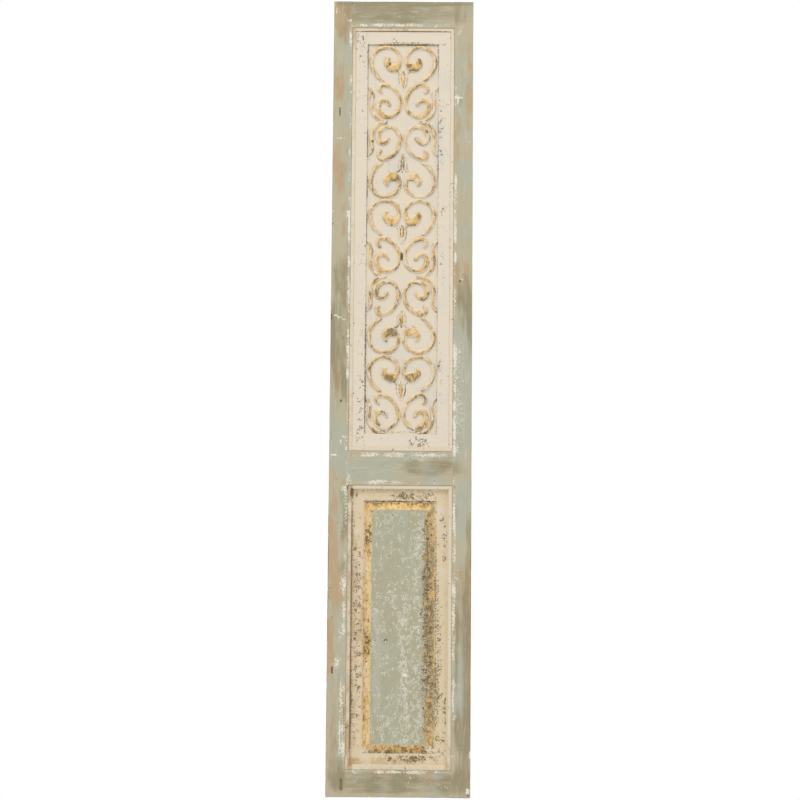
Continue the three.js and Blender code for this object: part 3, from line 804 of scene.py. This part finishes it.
def add_carved_panel():
    """The upper board: a flat border round a sunk field, whose ground is raised by the carving
    maps, folded about the middle line and turned over in every second unit."""
    sizes = sizes_in_mm()
    low, high = node_limits("carved_panel")
    middle = (low + high) / 2
    ground, rims = carved_rims((high - low) / 2, sizes)
    sheet, x, z = flat_sheet(ground, middle, sizes.carving_step,
                             sizes.field_sink - sizes.border_front)

    # Where each point lies in the drawn half unit, a little astray as a hand would carve it
    across = sheet[..., 0] + 0.6 * lattice_noise(sheet, 24, 21)
    unit_height = 2 * ground[2] / UNIT_COUNT
    drop = middle[2] + ground[2] - sheet[..., 2] + 0.6 * lattice_noise(sheet, 24, 22)
    drop = np.clip(drop, 0, 2 * ground[2] - 0.001)
    unit = np.floor(drop / unit_height).astype(int)
    within = drop / unit_height - unit
    down = DRAWN_HEIGHT * np.where(unit % 2 == 1, 1 - within, within)
    out = np.abs(across) * DRAWN_HALF_WIDTH / ground[0]
    maps = {key: read_map(values, out, down) for key, values in carving_maps().items()}
    tooled = 0.1 * lattice_noise(sheet, (7, 7, 5), 23) + 0.08 * lattice_noise(sheet, 2.6, 24)
    sheet[..., 1] -= maps["height"] * (1 + 0.06 * lattice_noise(sheet, 18, 25)) + tooled

    points, faces, ring = rimmed_board(sheet, rims)
    rim_points = points[sheet[..., 0].size:]
    on_border = (ring >= len(WALL_STEPS)) & (ring < len(rims) - CARVED_HIDDEN_RIMS)
    rim_points[on_border, 1] += FACE_DIP * (1 + lattice_noise(rim_points[on_border], 9, 26))

    # The leaf's tone and its losses, unit by unit, and then painted light: a painted highlight on
    # the carving's upper left sides and painted shade on its lower right sides
    side = (across > 0).astype(int)
    tone = blended(LEAF_TONES, PETAL_TONES, unit, side, maps)
    tone += 1.7 * lattice_noise(sheet, 12, 27) + 0.8 * lattice_noise(sheet, 30, 28)
    loss = blended(LEAF_LOSS, PETAL_LOSS, unit, side, maps)
    leaf = np.minimum(maps["inside"] + 1.9 * maps["petal"] - 0.45, 1.5) - 1.8 * loss
    leaf -= 5.0 * np.clip(lattice_noise(sheet, 10, 29) - 0.3, 0, 1) * (1 - maps["bulb"])
    fall_z, fall_x = np.gradient(-maps["height"], z, x)
    slope = (0.6 * fall_x - 0.8 * fall_z) * PAINTED_SHADE_GAIN
    painted_shade = smoothstep(0.25 + slope)
    tone += 1.2 * (smoothstep(0.25 - slope) - painted_shade)

    # Wax round the crests; wax and painted shade low on the wall and along the crests' rims, the
    # rims mostly painted shade on the lower right sides; and a warm wash round them
    smudge = np.clip(0.4 + 1.4 * lattice_noise(sheet, 12, 34), 0, 1)
    carving_wax_and_shade = maps["wax"] * (0.62 + 0.5 * lattice_noise(sheet, 11, 30))
    carving_wax_and_shade += maps["rim"] * smudge * (0.12 + 0.78 * painted_shade)
    wall_wax_and_shade = np.where(ring == 0, 0.45, np.where(ring == 1, 0.3, 0.02))
    wall_wax_and_shade = wall_wax_and_shade * (1 + 0.8 * lattice_noise(rim_points, 20, 31))
    halo = 0.4 * np.exp(-((maps["inside"] + 1.4) / 2.2) ** 2)
    halo *= 1 + lattice_noise(sheet, 10, 35)
    none = np.zeros(len(rim_points))
    attributes = {
        "warm": np.concatenate([halo.ravel(), none]),
        "leaf": np.concatenate([leaf.ravel(), patches(rim_points, CARVED_EDGE_LEAF) - 9]),
        "tone": np.concatenate([tone.ravel(), none - 0.8]),
        "wax": np.concatenate([carving_wax_and_shade.ravel(), wall_wax_and_shade]) + patches(points, CARVED_WAX_AND_SHADOW_SPOTS),
        "specks": patches(points, CARVED_SPECK_SPOTS) + 0.3 * lattice_noise(points, 30, 33),
        "cool": patches(points, CARVED_GREY_SPOTS) + 0.25 * lattice_noise(points, 60, 32),
        "bare": 2.0 * unpainted(points),
    }
    return make_piece("carved_panel", points, faces,
                      finish_material("Cream paint and gold leaf on carved wood"), attributes)


def add_raised_panel():
    """The lower board: a raised field inside a bevel, a quirk and a flat margin, with true
    mitres at the corners because every rim is a rectangle."""
    sizes = sizes_in_mm()
    low, high = node_limits("raised_panel")
    middle = (low + high) / 2
    half = (high - low) / 2
    margin = sizes.groove_depth - TONGUE_ROOM + sizes.margin_width
    quirk = margin + sizes.quirk_width
    bevel = quirk + sizes.bevel_width
    field_front = -sizes.raised_front
    bevel_top = field_front + sizes.field_step
    flat = -sizes.tongue_front
    corner = sizes.field_step / 2
    insets = [(bevel + 0.25 * corner, field_front + 0.3 * sizes.field_step),
              (bevel, bevel_top)]
    insets += [(bevel - share * sizes.bevel_width,
                bevel_top + (flat - bevel_top) * share + BEVEL_HOLLOW * math.sin(math.pi * share))
               for share in np.linspace(0, 1, BEVEL_STEPS)[1:]]
    insets += [(quirk - share * sizes.quirk_width,
                flat + sizes.quirk_sink * math.sin(math.pi * share))
               for share in np.linspace(0, 1, QUIRK_STEPS)[1:]]
    insets += [(inset, flat) for inset in spaced(margin - 0.8, MARGIN_HIDDEN, MARGIN_STEP)]
    insets += [(0, flat), (0, -sizes.tongue_back)]
    field = half - bevel - corner
    sheet, _, _ = flat_sheet(field, middle, FIELD_STEP, field_front)
    from_edge = np.minimum(field[0] - np.abs(sheet[..., 0]),
                           field[2] - np.abs(sheet[..., 2] - middle[2]))
    sheet[..., 1] += FACE_DIP * smoothstep(1 - from_edge / 2)
    rims = [(half[0] - inset, half[2] - inset, depth) for inset, depth in insets]
    points, faces, ring = rimmed_board(sheet, rims)
    rim_inset = np.array([inset for inset, depth in insets])[ring]
    count = sheet[..., 0].size
    inset = np.concatenate([(from_edge + bevel + corner).ravel(), rim_inset])
    shown = np.concatenate([np.ones(count), ring < len(rims) - RAISED_HIDDEN_RIMS])
    points[:, 1] += shown * FACE_DIP * (1 + lattice_noise(points, (9, 9, 16), 41))

    # The leaf covers the bevel and grows brighter towards the field, except on the right. On its
    # right side, which faces away from the light, it laps over the field, is rubbed through and
    # takes the olive wash, all as painted shade
    to_right = half[0] - bevel - points[:, 0]
    to_end = half[2] - bevel - np.abs(points[:, 2] - middle[2])
    shaded_right_side = smoothstep((to_end - to_right) / 10) * smoothstep(points[:, 0] / 30)
    over_field = shaded_right_side * RIGHT_SHADE_OVERLAP * (
        0.75 + 0.5 * lattice_noise(points, (12, 12, 22), 49)
        + 0.5 * lattice_noise(points, (5, 5, 7), 50))
    on_bevel = np.minimum(inset - quirk, bevel + 0.5 + over_field - inset)
    up_bevel = np.clip((inset - quirk) / sizes.bevel_width, 0, 1)
    brighter_inwards = 2.2 * (up_bevel - 0.45) * (1 - shaded_right_side)
    lost = 1.6 * np.clip(lattice_noise(points, 7, 42) - 0.2, 0, 1)
    lost += shaded_right_side * (1.3 + 0.7 * lattice_noise(points, (7, 7, 40), 51))

    # Wax and painted shade lie in the quirk, most at the top and least on the left, the side that
    # faces the light
    quirk_wax_and_shade = np.exp(-((inset - (margin + quirk) / 2) / 1.8) ** 2)
    from_side = half[0] - np.abs(points[:, 0])
    from_end = half[2] - np.abs(points[:, 2] - middle[2])
    quirk_wax_and_shade *= np.where(from_end < from_side, np.where(points[:, 2] > middle[2], 0.75, 0.5),
                         np.where(points[:, 0] > 0, 0.5, 0.12))
    attributes = {
        "leaf": np.minimum(on_bevel, 1.1) - lost,
        # The olive wash on the bevel's right side is painted shade
        "olive": 1.1 * shaded_right_side * np.clip(on_bevel, 0, 1),
        "field": inset - bevel - 0.2,
        "flakes": np.minimum(patches(points, FLAKE_SPOTS), 1.1)
        + 0.5 * lattice_noise(points, (9, 9, 30), 46),
        "tone": 0.9 * lattice_noise(points, (12, 12, 40), 43) + brighter_inwards
        + patches(points, BEVEL_LIGHT_AND_TONES),
        "wax": quirk_wax_and_shade * (0.75 + 0.4 * lattice_noise(points, 15, 44))
        + patches(points, RAISED_WAX_AND_SHADE_SPOTS) * (1 + 0.6 * lattice_noise(points, (9, 9, 18), 47)),
        "specks": patches(points, RAISED_SPECK_SPOTS),
        "chips": patches(points, RAISED_CHIP_SPOTS),
        "cool": patches(points, RAISED_COOL_SPOTS) + 0.15 * lattice_noise(points, 40, 45),
        "warm": patches(points, RAISED_WARM_SPOTS) + 0.2 * lattice_noise(points, 40, 48),
        "bare": 2.0 * unpainted(points),
    }
    return make_piece("raised_panel", points, faces,
                      finish_material("Aged cream paint and gold leaf on softwood"), attributes)


# Marks on the mouldings: dark wax, which under the upper opening's top lip, in the lower
# opening's top left corner and down its left cove is also painted shadow, chips, and the cool and
# the warm wash
MOULDING_WAX_AND_SHADOW_SPOTS = [
    (160, 70.5, 112, 1.5, 1.2), (51.5, 1128, 3, 9, 1.5), (43.5, 1113, 1.6, 3, 1.6),
    (160, 1122, 110, 2, 0.3), (54, 1330, 3, 210, 0.75), (54, 1620, 3, 110, 0.8),
    (160, 1734, 105, 2, 0.25),
]
MOULDING_CHIP_SPOTS = [(44, 70, 2, 14, 0.5), (275, 900, 3, 160, 0.4), (276, 1300, 2, 240, 0.5)]
MOULDING_COOL_SPOTS = [(274, 560, 6, 470, 0.8), (47, 420, 6, 260, 0.4), (160, 1036, 110, 6, 0.5)]
MOULDING_WARM_SPOTS = [
    (47, 1430, 7, 330, 0.5), (47, 90, 7, 34, 0.6), (110, 66, 70, 6, 0.4), (47, 960, 7, 50, 0.3),
    (270, 1720, 8, 40, 0.5), (160, 1737, 110, 6, 0.25), (47, 1128, 6, 22, 0.9),
    (47, 1675, 6, 34, 0.9), (54, 1728, 6, 14, 1.0),
]


def moulding_section(cove):
    """Closed outline of a strip, as (away from the frame, depth) in mm: flat back, a cove down
    from a fillet where asked, and a face between two rounded edges."""
    sizes = sizes_in_mm()
    width, front, back = sizes.moulding_width, -sizes.moulding_front, -sizes.groove_front
    side = [[width, back], [width, (back + front) / 2]]
    if cove > 0:
        cove_top = front + sizes.strip_arris + COVE_FILLET
        sweep = np.linspace(0, math.pi / 2, COVE_STEPS)
        side = np.stack([width + cove * (1 - np.sin(sweep)),
                         back - (back - cove_top) * (1 - np.cos(sweep))], axis=-1)
    return np.concatenate([
        [[0, back], [width / 2, back]], side,
        rounded_face(0, width, front, sizes.joint_arris, sizes.strip_arris, FACE_DIP)])


def add_moulding(node, edge, cove, seed):
    """A strip along one edge of an opening, with its ends cut to a mitre: every line of the
    section stops short by its own distance from the frame."""
    sizes = sizes_in_mm()
    low, high = node_limits(node)
    section = moulding_section(cove)
    along = 2 if edge in ("left", "right") else 0
    inward = {"left": 1, "right": -1, "bottom": 1, "top": -1}[edge]
    away = 2 - along
    outer = low[away] if inward > 0 else high[away]
    half_length = (high[along] - low[along]) / 2
    middle = (high[along] + low[along]) / 2
    shares = np.concatenate([[-1], spaced(-0.995, 0.995, STRIP_STEP / half_length), [1]])
    points = np.zeros((len(shares), len(section), 3))
    points[..., along] = middle + shares[:, None] * (half_length - section[:, 0])
    points[..., 1] = section[:, 1]
    points[..., away] = outer + inward * section[:, 0]
    lifted = smoothstep((-points[..., 1] - WORN_DEPTH) / 6)
    worn = 0.14 * (1 + lattice_noise(points, 22, seed))
    worn += 0.5 * np.clip(lattice_noise(points, 7, seed + 1) - 0.5, 0, 1)
    points[..., 1] += worn * lifted
    points[..., away] += inward * lifted * 0.1 * (1 + lattice_noise(points, 30, seed + 2))
    flat = points.reshape(-1, 3)
    # Darker deeper down the lower mouldings' cove, as wax and painted shade
    depth_share = smoothstep((flat[:, 1] + sizes.moulding_front) / 6)
    cove_wax_and_shade = 0.12 if cove else 0.0
    attributes = {
        "wax": patches(flat, MOULDING_WAX_AND_SHADOW_SPOTS)
        + cove_wax_and_shade * depth_share * (1 + 0.5 * lattice_noise(flat, 24, seed + 3)),
        "chips": patches(flat, MOULDING_CHIP_SPOTS),
        "cool": patches(flat, MOULDING_COOL_SPOTS) + 0.25 * lattice_noise(flat, 50, seed + 4),
        "warm": patches(flat, MOULDING_WARM_SPOTS) + 0.2 * lattice_noise(flat, 40, seed + 5),
    }
    return make_piece(node, points, tube_faces(*points.shape[:2]),
                      finish_material("Brushed warm cream paint on softwood"), attributes)


# Finishes

def add_node(tree, kind, inputs=None, output=0, **settings):
    """Adds a node with its settings. Each input is set to a number or colour, or linked to
    another node's output, and the asked output is given back."""
    made = tree.nodes.new(kind)
    for name, value in settings.items():
        setattr(made, name, value)
    for name, value in (inputs or {}).items():
        if isinstance(value, bpy.types.NodeSocket):
            tree.links.new(value, made.inputs[name])
        else:
            made.inputs[name].default_value = value
    return made.outputs[output]


def hairline(tree, lines, thinness, groups):
    """Winding lines in groups: the groups' noise, less thinness times how far the lines' noise
    is from 0.5, so that a line is widest in the middle of a group."""
    apart = add_node(tree, "ShaderNodeMath", {0: lines, 1: 0.5}, operation="SUBTRACT")
    apart = add_node(tree, "ShaderNodeMath", {0: apart}, operation="ABSOLUTE")
    return add_node(tree, "ShaderNodeMath", {0: apart, 1: -thinness, 2: groups},
                    operation="MULTIPLY_ADD")


# Each coat: the number on the piece that steers it, if any, with its weight, the pattern added to
# it, the sums at which the coat begins and is full, and how much it then covers.
COATS = {
    "second coat": ("cool", 0.5, "uneven", 0.68, 1.06, 1.0),
    "flaked paint": ("flakes", 0.16, "cracked", 0.48, 0.58, 0.65),
    "raised field": ("field", 1.0, "even", -0.3, 0.3, 1.0),
    "ochre wash": ("warm", 0.8, "washed", 0.86, 1.36, 0.8),
    "olive wash": ("olive", 0.8, "washed", 0.8, 1.5, 0.75),
    "smears of undercoat": ("chips", 0.05, "dry_brush", 0.54, 0.72, 0.3),
    # The leaf's tones also carry the painted highlight and painted shade, and the wax painted
    # shade
    "bright leaf": ("tone", 0.09, "leaf_tones", 0.48, 0.66, 1.0),
    "dark leaf": ("tone", 0.09, "leaf_tones", 0.46, 0.33, 1.0),
    "gold leaf": ("leaf", 0.125, "leaf_breaks", 0.36, 0.52, 1.0),
    "wax": ("wax", 0.43, "grit", 0.65, 0.85, 0.85),
    "wax specks": ("specks", 0.26, "speckled", 0.6, 0.67, 0.85),
    "chips": ("chips", 0.28, "grit", 0.74, 0.81, 1.0),
    "pale wood between rings": (None, 0.0, "rings", 0.32, 0.66, 1.0),
    "bare wood": ("bare", 1.1, "streaks", 0.95, 1.6, 1.0),
}
# How fine the specks' hairlines and the hair cracks are, and the brush lines' share in a coat
SPECK_THINNESS = 3.0
CRACK_THINNESS = 3.4
STREAK_SHARE = 0.4
# Roughness of matt paint and what grit adds to it, and how smooth and metallic worn leaf is
PAINT_ROUGHNESS = 0.52
GRIT_ROUGHNESS = 0.25
LEAF_SMOOTHNESS = 0.1
LEAF_METALLIC = 0.2
# Height of the brush lines and the grit in mm, and how strongly they catch the light
BRUSH_RELIEF = 0.25
RELIEF_STRENGTH = 0.5


def coat(tree, patterns, title, below, colour):
    """Lays the coat with this title in COATS over the colours below, climbing softly between
    its two sums. Returns the new colours and how much the coat covers."""
    number, weight, pattern, start, full, most = COATS[title]
    reach = patterns[pattern]
    if number:
        amount = add_node(tree, "ShaderNodeAttribute", output="Fac", attribute_name=number)
        reach = add_node(tree, "ShaderNodeMath", {0: amount, 1: weight, 2: reach},
                         operation="MULTIPLY_ADD")
    share = add_node(tree, "ShaderNodeMapRange", {
        "Value": reach, "From Min": start, "From Max": full, "To Max": most,
    }, output="Result", interpolation_type="SMOOTHSTEP")
    covered = add_node(tree, "ShaderNodeMix", {0: share, 6: below, 7: colour}, output=2,
                       data_type="RGBA")
    return covered, share


# The patterns in the coats. Each has the size of its features in mm, how far it is drawn out
# along the grain (0 not at all, 1 as the finish says, more for longer streaks), its octaves,
# roughness and distortion.
PATTERNS = {
    # Coats laid unevenly with a brush about 45 mm wide
    "clouds": (46, 0, 3, 0.5, 0),
    # Thin washes wiped on with a rag, in drifts a finger wide
    "drifts": (11, 0.5, 3, 0.6, 0),
    # Brush lines, drawn twice as coarse as a real brush leaves them, so that they show
    "streaks": (3.4, 1, 4, 0.65, 0),
    "dry_brush": (2.6, 1, 5, 0.7, 0),
    # Broken paint, drawn coarser than its real flakes of 1 mm or less
    "grit": (3.0, 0, 4, 0.65, 0),
    # Groups of wax specks, and the winding hairlines that they lie on
    "speck_groups": (9.0, 0, 2, 0.5, 0),
    "speck_lines": (6.5, 0, 2, 0.6, 0.8),
    # Breaks between scraps of leaf, and how thin the leaf is rubbed
    "leaf_breaks": (4.0, 0, 4, 0.7, 0),
    "leaf_tones": (6.5, 0.4, 4, 0.75, 0),
    # Hair cracks in the paint of the raised field
    "cracks": (5.0, 0.3, 3, 0.6, 1.0),
    # Growth rings of the bare softwood, about 5 mm apart where the board's face cuts them
    "rings": (5.0, 2.0, 3, 0.6, 0.4),
}

# Each finish: the paint, its second coat, the grain's stretch along X, Y and Z, whether it has
# gold leaf, and the paint of a raised field where there is one. All are matt paint brushed on
# softwood by hand and rubbed back, so that they look chalky and uneven.
FINISHES = {
    # Thin coats with brush lines along each board, and brown wood on the rubbed edges
    "Brushed sage paint on softwood, upright": ("sage", "blue_grey", (1, 1, 0.06), False, None),
    "Brushed sage paint on softwood, level": ("sage", "blue_grey", (0.06, 1, 1), False, None),
    # A smoother warm coat, with dark wax wiped into the corners
    "Brushed warm cream paint on softwood": ("warm_cream", "cream", (1, 1, 0.25), False, None),
    # Loose leaf laid on the carving and rubbed, broken, dull in parts and only a little shiny
    "Cream paint and gold leaf on carved wood": ("cream", "cool_cream", (1, 1, 0.25), True, None),
    # The same leaf on a bevel, round a field whose grey-green paint is flaked and cracked
    "Aged cream paint and gold leaf on softwood": ("aged_cream", "cream", (1, 1, 0.15), True,
                                                   ("field_sage", "blue_grey")),
}


def noise_patterns(tree, grain):
    """The patterns' noise at each place of a piece, and the sums of them that the coats use."""
    metres = add_node(tree, "ShaderNodeTexCoord", output="Object")
    patterns = {"even": 0.0}
    for name, (size, drawn, octaves, roughness, distortion) in PATTERNS.items():
        per_metre = [share ** drawn / (size * MM) for share in grain]
        places = add_node(tree, "ShaderNodeVectorMath", {0: metres, 1: per_metre},
                          operation="MULTIPLY")
        patterns[name] = add_node(tree, "ShaderNodeTexNoise", {
            "Vector": places, "Scale": 1.0, "Detail": octaves, "Roughness": roughness,
            "Distortion": distortion}, output="Fac")
    for name, base in (("uneven", "clouds"), ("washed", "drifts")):
        patterns[name] = add_node(tree, "ShaderNodeMath", {
            0: patterns["streaks"], 1: STREAK_SHARE, 2: patterns[base]},
            operation="MULTIPLY_ADD")
    patterns["speckled"] = hairline(tree, patterns["speck_lines"], SPECK_THINNESS,
                                    patterns["speck_groups"])
    return patterns


def finish_material(title):
    """The finish with this title, laid coat by coat as the painter did: two coats of paint,
    washes, leaf, wax and specks, then the chips down to the pale undercoat and the bare wood."""
    known = bpy.data.materials.get(title)
    if known:
        return known
    finish = bpy.context.scene.wall_panel_finish
    first, second, grain, gilded, field_paint = FINISHES[title]
    material = bpy.data.materials.new(title)
    material.use_nodes = True
    tree = material.node_tree
    shader = tree.nodes["Principled BSDF"]
    patterns = noise_patterns(tree, grain)

    colour, _ = coat(tree, patterns, "second coat", getattr(finish, first),
                     getattr(finish, second))
    if field_paint:
        patterns["cracked"] = hairline(tree, patterns["cracks"], CRACK_THINNESS,
                                       patterns["speck_groups"])
        inner, _ = coat(tree, patterns, "second coat",
                        *[getattr(finish, paint) for paint in field_paint])
        inner, _ = coat(tree, patterns, "flaked paint", inner, finish.chalk)
        colour, _ = coat(tree, patterns, "raised field", colour, inner)
    colour, _ = coat(tree, patterns, "ochre wash", colour, finish.ochre)
    colour, _ = coat(tree, patterns, "olive wash", colour, finish.olive)
    colour, _ = coat(tree, patterns, "smears of undercoat", colour, finish.chalk)
    if gilded:
        gold, _ = coat(tree, patterns, "bright leaf", finish.worn_leaf, finish.bright_leaf)
        gold, _ = coat(tree, patterns, "dark leaf", gold, finish.dark_leaf)
        colour, leaf = coat(tree, patterns, "gold leaf", colour, gold)
    colour, waxed = coat(tree, patterns, "wax", colour, finish.wax)
    colour, _ = coat(tree, patterns, "wax specks", colour, finish.wax)
    colour, chipped = coat(tree, patterns, "chips", colour, finish.chalk)
    wood, _ = coat(tree, patterns, "pale wood between rings", finish.dark_wood,
                   finish.bare_wood)
    colour, _ = coat(tree, patterns, "bare wood", colour, wood)
    tree.links.new(colour, shader.inputs["Base Color"])

    matt = add_node(tree, "ShaderNodeMath", {
        0: patterns["grit"], 1: GRIT_ROUGHNESS, 2: PAINT_ROUGHNESS}, operation="MULTIPLY_ADD")
    if gilded:
        unwaxed = add_node(tree, "ShaderNodeMath", {0: 1.0, 1: waxed}, operation="SUBTRACT")
        gilt = add_node(tree, "ShaderNodeMath", {0: leaf, 1: unwaxed}, operation="MULTIPLY")
        metallic = add_node(tree, "ShaderNodeMath", {0: gilt, 1: LEAF_METALLIC},
                            operation="MULTIPLY")
        tree.links.new(metallic, shader.inputs["Metallic"])
        matt = add_node(tree, "ShaderNodeMath", {0: gilt, 1: -LEAF_SMOOTHNESS, 2: matt},
                        operation="MULTIPLY_ADD")
    tree.links.new(matt, shader.inputs["Roughness"])
    relief = add_node(tree, "ShaderNodeMath", {
        0: patterns["streaks"], 1: 0.7, 2: patterns["grit"]}, operation="MULTIPLY_ADD")
    relief = add_node(tree, "ShaderNodeMath", {0: chipped, 1: -0.5, 2: relief},
                      operation="MULTIPLY_ADD")
    bump = add_node(tree, "ShaderNodeBump", {
        "Height": relief, "Strength": RELIEF_STRENGTH, "Distance": BRUSH_RELIEF * MM,
    }, output="Normal")
    tree.links.new(bump, shader.inputs["Normal"])
    return material


# Stage

def add_stage():
    """White surroundings, a large soft light from the upper left, a weaker one from the right,
    a pale floor below the panel and the camera."""
    scene = bpy.context.scene
    world = bpy.data.worlds.new("Studio")
    world.use_nodes = True
    scene.world = world
    tree = world.node_tree
    seen = add_node(tree, "ShaderNodeLightPath", output="Is Camera Ray")
    white = add_node(tree, "ShaderNodeBackground", {"Color": (1, 1, 1, 1), "Strength": 1.0})
    ambient = add_node(tree, "ShaderNodeBackground", {"Color": (0.93, 0.96, 1, 1),
                                                      "Strength": AMBIENT})
    both = add_node(tree, "ShaderNodeMixShader", {0: seen, 1: ambient, 2: white})
    tree.links.new(both, tree.nodes["World Output"].inputs["Surface"])
    scene.view_settings.view_transform = "Standard"

    middle = (CAD_BOX[0] + CAD_BOX[1]) / 2
    for name, towards, distance, size, power, tint in LIGHTS:
        data = bpy.data.lights.new(name, "AREA")
        data.shape = "SQUARE"
        data.size = size
        data.energy = power
        data.color = tint
        light = bpy.data.objects.new(name, data)
        direction = Vector(towards).normalized()
        light.location = middle + direction * distance
        light.rotation_euler = direction.to_track_quat("Z", "Y").to_euler()
        scene.collection.objects.link(light)

    bpy.ops.mesh.primitive_cylinder_add(
        vertices=96, radius=FLOOR_RADIUS, depth=FLOOR_THICKNESS,
        location=(0, 0, CAD_BOX[0].z - FLOOR_DROP))
    floor = bpy.context.object
    floor.name = "Floor"
    paper = bpy.data.materials.new("Matt white floor")
    paper.use_nodes = True
    matt = paper.node_tree.nodes["Principled BSDF"]
    matt.inputs["Base Color"].default_value = linear_colour("ECEBE8")
    matt.inputs["Roughness"].default_value = 0.9
    floor.data.materials.append(paper)

    data = bpy.data.cameras.new("Camera")
    data.lens = CAMERA_LENS
    data.sensor_width = CAMERA_SENSOR
    camera = bpy.data.objects.new("Camera", data)
    camera.location = CAMERA_PLACE
    camera.rotation_euler = Euler([math.radians(turn) for turn in CAMERA_TURN])
    scene.collection.objects.link(camera)
    scene.camera = camera


# Operators

class WALLPANEL_OT_frame_boards(bpy.types.Operator):
    """Add the two stiles and the three rails"""
    bl_idname = "wall_panel.frame_boards"
    bl_label = "Frame Boards"

    def execute(self, context):
        sizes = sizes_in_mm()
        outer, inner = sizes.outer_arris, sizes.inner_arris
        for node, upright, groove_low, groove_high, arrises, seed in [
                ("left_stile", True, False, True, (outer, inner), 101),
                ("right_stile", True, True, False, (inner, outer), 111),
                ("top_rail", False, True, False, (inner, outer), 121),
                ("lock_rail", False, True, True, (inner, inner), 131),
                ("bottom_rail", False, False, True, (outer, inner), 141)]:
            add_frame_board(node, upright, groove_low, groove_high, arrises, seed)
        return {"FINISHED"}


class WALLPANEL_OT_carved_panel(bpy.types.Operator):
    """Add the carved board of the upper opening"""
    bl_idname = "wall_panel.carved_panel"
    bl_label = "Carved Panel"

    def execute(self, context):
        add_carved_panel()
        return {"FINISHED"}


class WALLPANEL_OT_raised_panel(bpy.types.Operator):
    """Add the raised board of the lower opening"""
    bl_idname = "wall_panel.raised_panel"
    bl_label = "Raised Panel"

    def execute(self, context):
        add_raised_panel()
        return {"FINISHED"}


class WALLPANEL_OT_mouldings(bpy.types.Operator):
    """Add the mitred strips round both openings"""
    bl_idname = "wall_panel.mouldings"
    bl_label = "Mouldings"

    def execute(self, context):
        cove = sizes_in_mm().cove_width
        seed = 200
        for opening, cove_here in (("upper", 0), ("lower", cove)):
            for edge_name in ("left", "right", "top", "bottom"):
                add_moulding(f"{opening}_moulding_{edge_name}", edge_name, cove_here, seed)
                seed += 10
        return {"FINISHED"}


class WALLPANEL_OT_stage(bpy.types.Operator):
    """Add the surroundings, the lights, the floor and the camera"""
    bl_idname = "wall_panel.stage"
    bl_label = "Stage"

    def execute(self, context):
        add_stage()
        return {"FINISHED"}


class WALLPANEL_PT_sidebar(bpy.types.Panel):
    """Sizes, colours and the steps that build the panel"""
    bl_label = "Wall Panel"
    bl_space_type = "VIEW_3D"
    bl_region_type = "UI"
    bl_category = "Wall Panel"

    def draw(self, context):
        for group in (context.scene.wall_panel_sizes, context.scene.wall_panel_finish):
            for name in group.__annotations__:
                self.layout.prop(group, name)
        for step in STEPS:
            self.layout.operator(step.bl_idname)


STEPS = [WALLPANEL_OT_frame_boards, WALLPANEL_OT_carved_panel, WALLPANEL_OT_raised_panel,
         WALLPANEL_OT_mouldings, WALLPANEL_OT_stage]
CLASSES = [PanelFinish, PanelSizes, *STEPS, WALLPANEL_PT_sidebar]


def register():
    for item in CLASSES:
        bpy.utils.register_class(item)
    bpy.types.Scene.wall_panel_finish = bpy.props.PointerProperty(type=PanelFinish)
    bpy.types.Scene.wall_panel_sizes = bpy.props.PointerProperty(type=PanelSizes)


def unregister():
    del bpy.types.Scene.wall_panel_sizes
    del bpy.types.Scene.wall_panel_finish
    for item in reversed(CLASSES):
        bpy.utils.unregister_class(item)


def main():
    register()
    bpy.ops.wall_panel.frame_boards()
    bpy.ops.wall_panel.carved_panel()
    bpy.ops.wall_panel.raised_panel()
    bpy.ops.wall_panel.mouldings()
    bpy.ops.wall_panel.stage()
    bpy.context.view_layer.update()


if __name__ == "__main__":
    main()
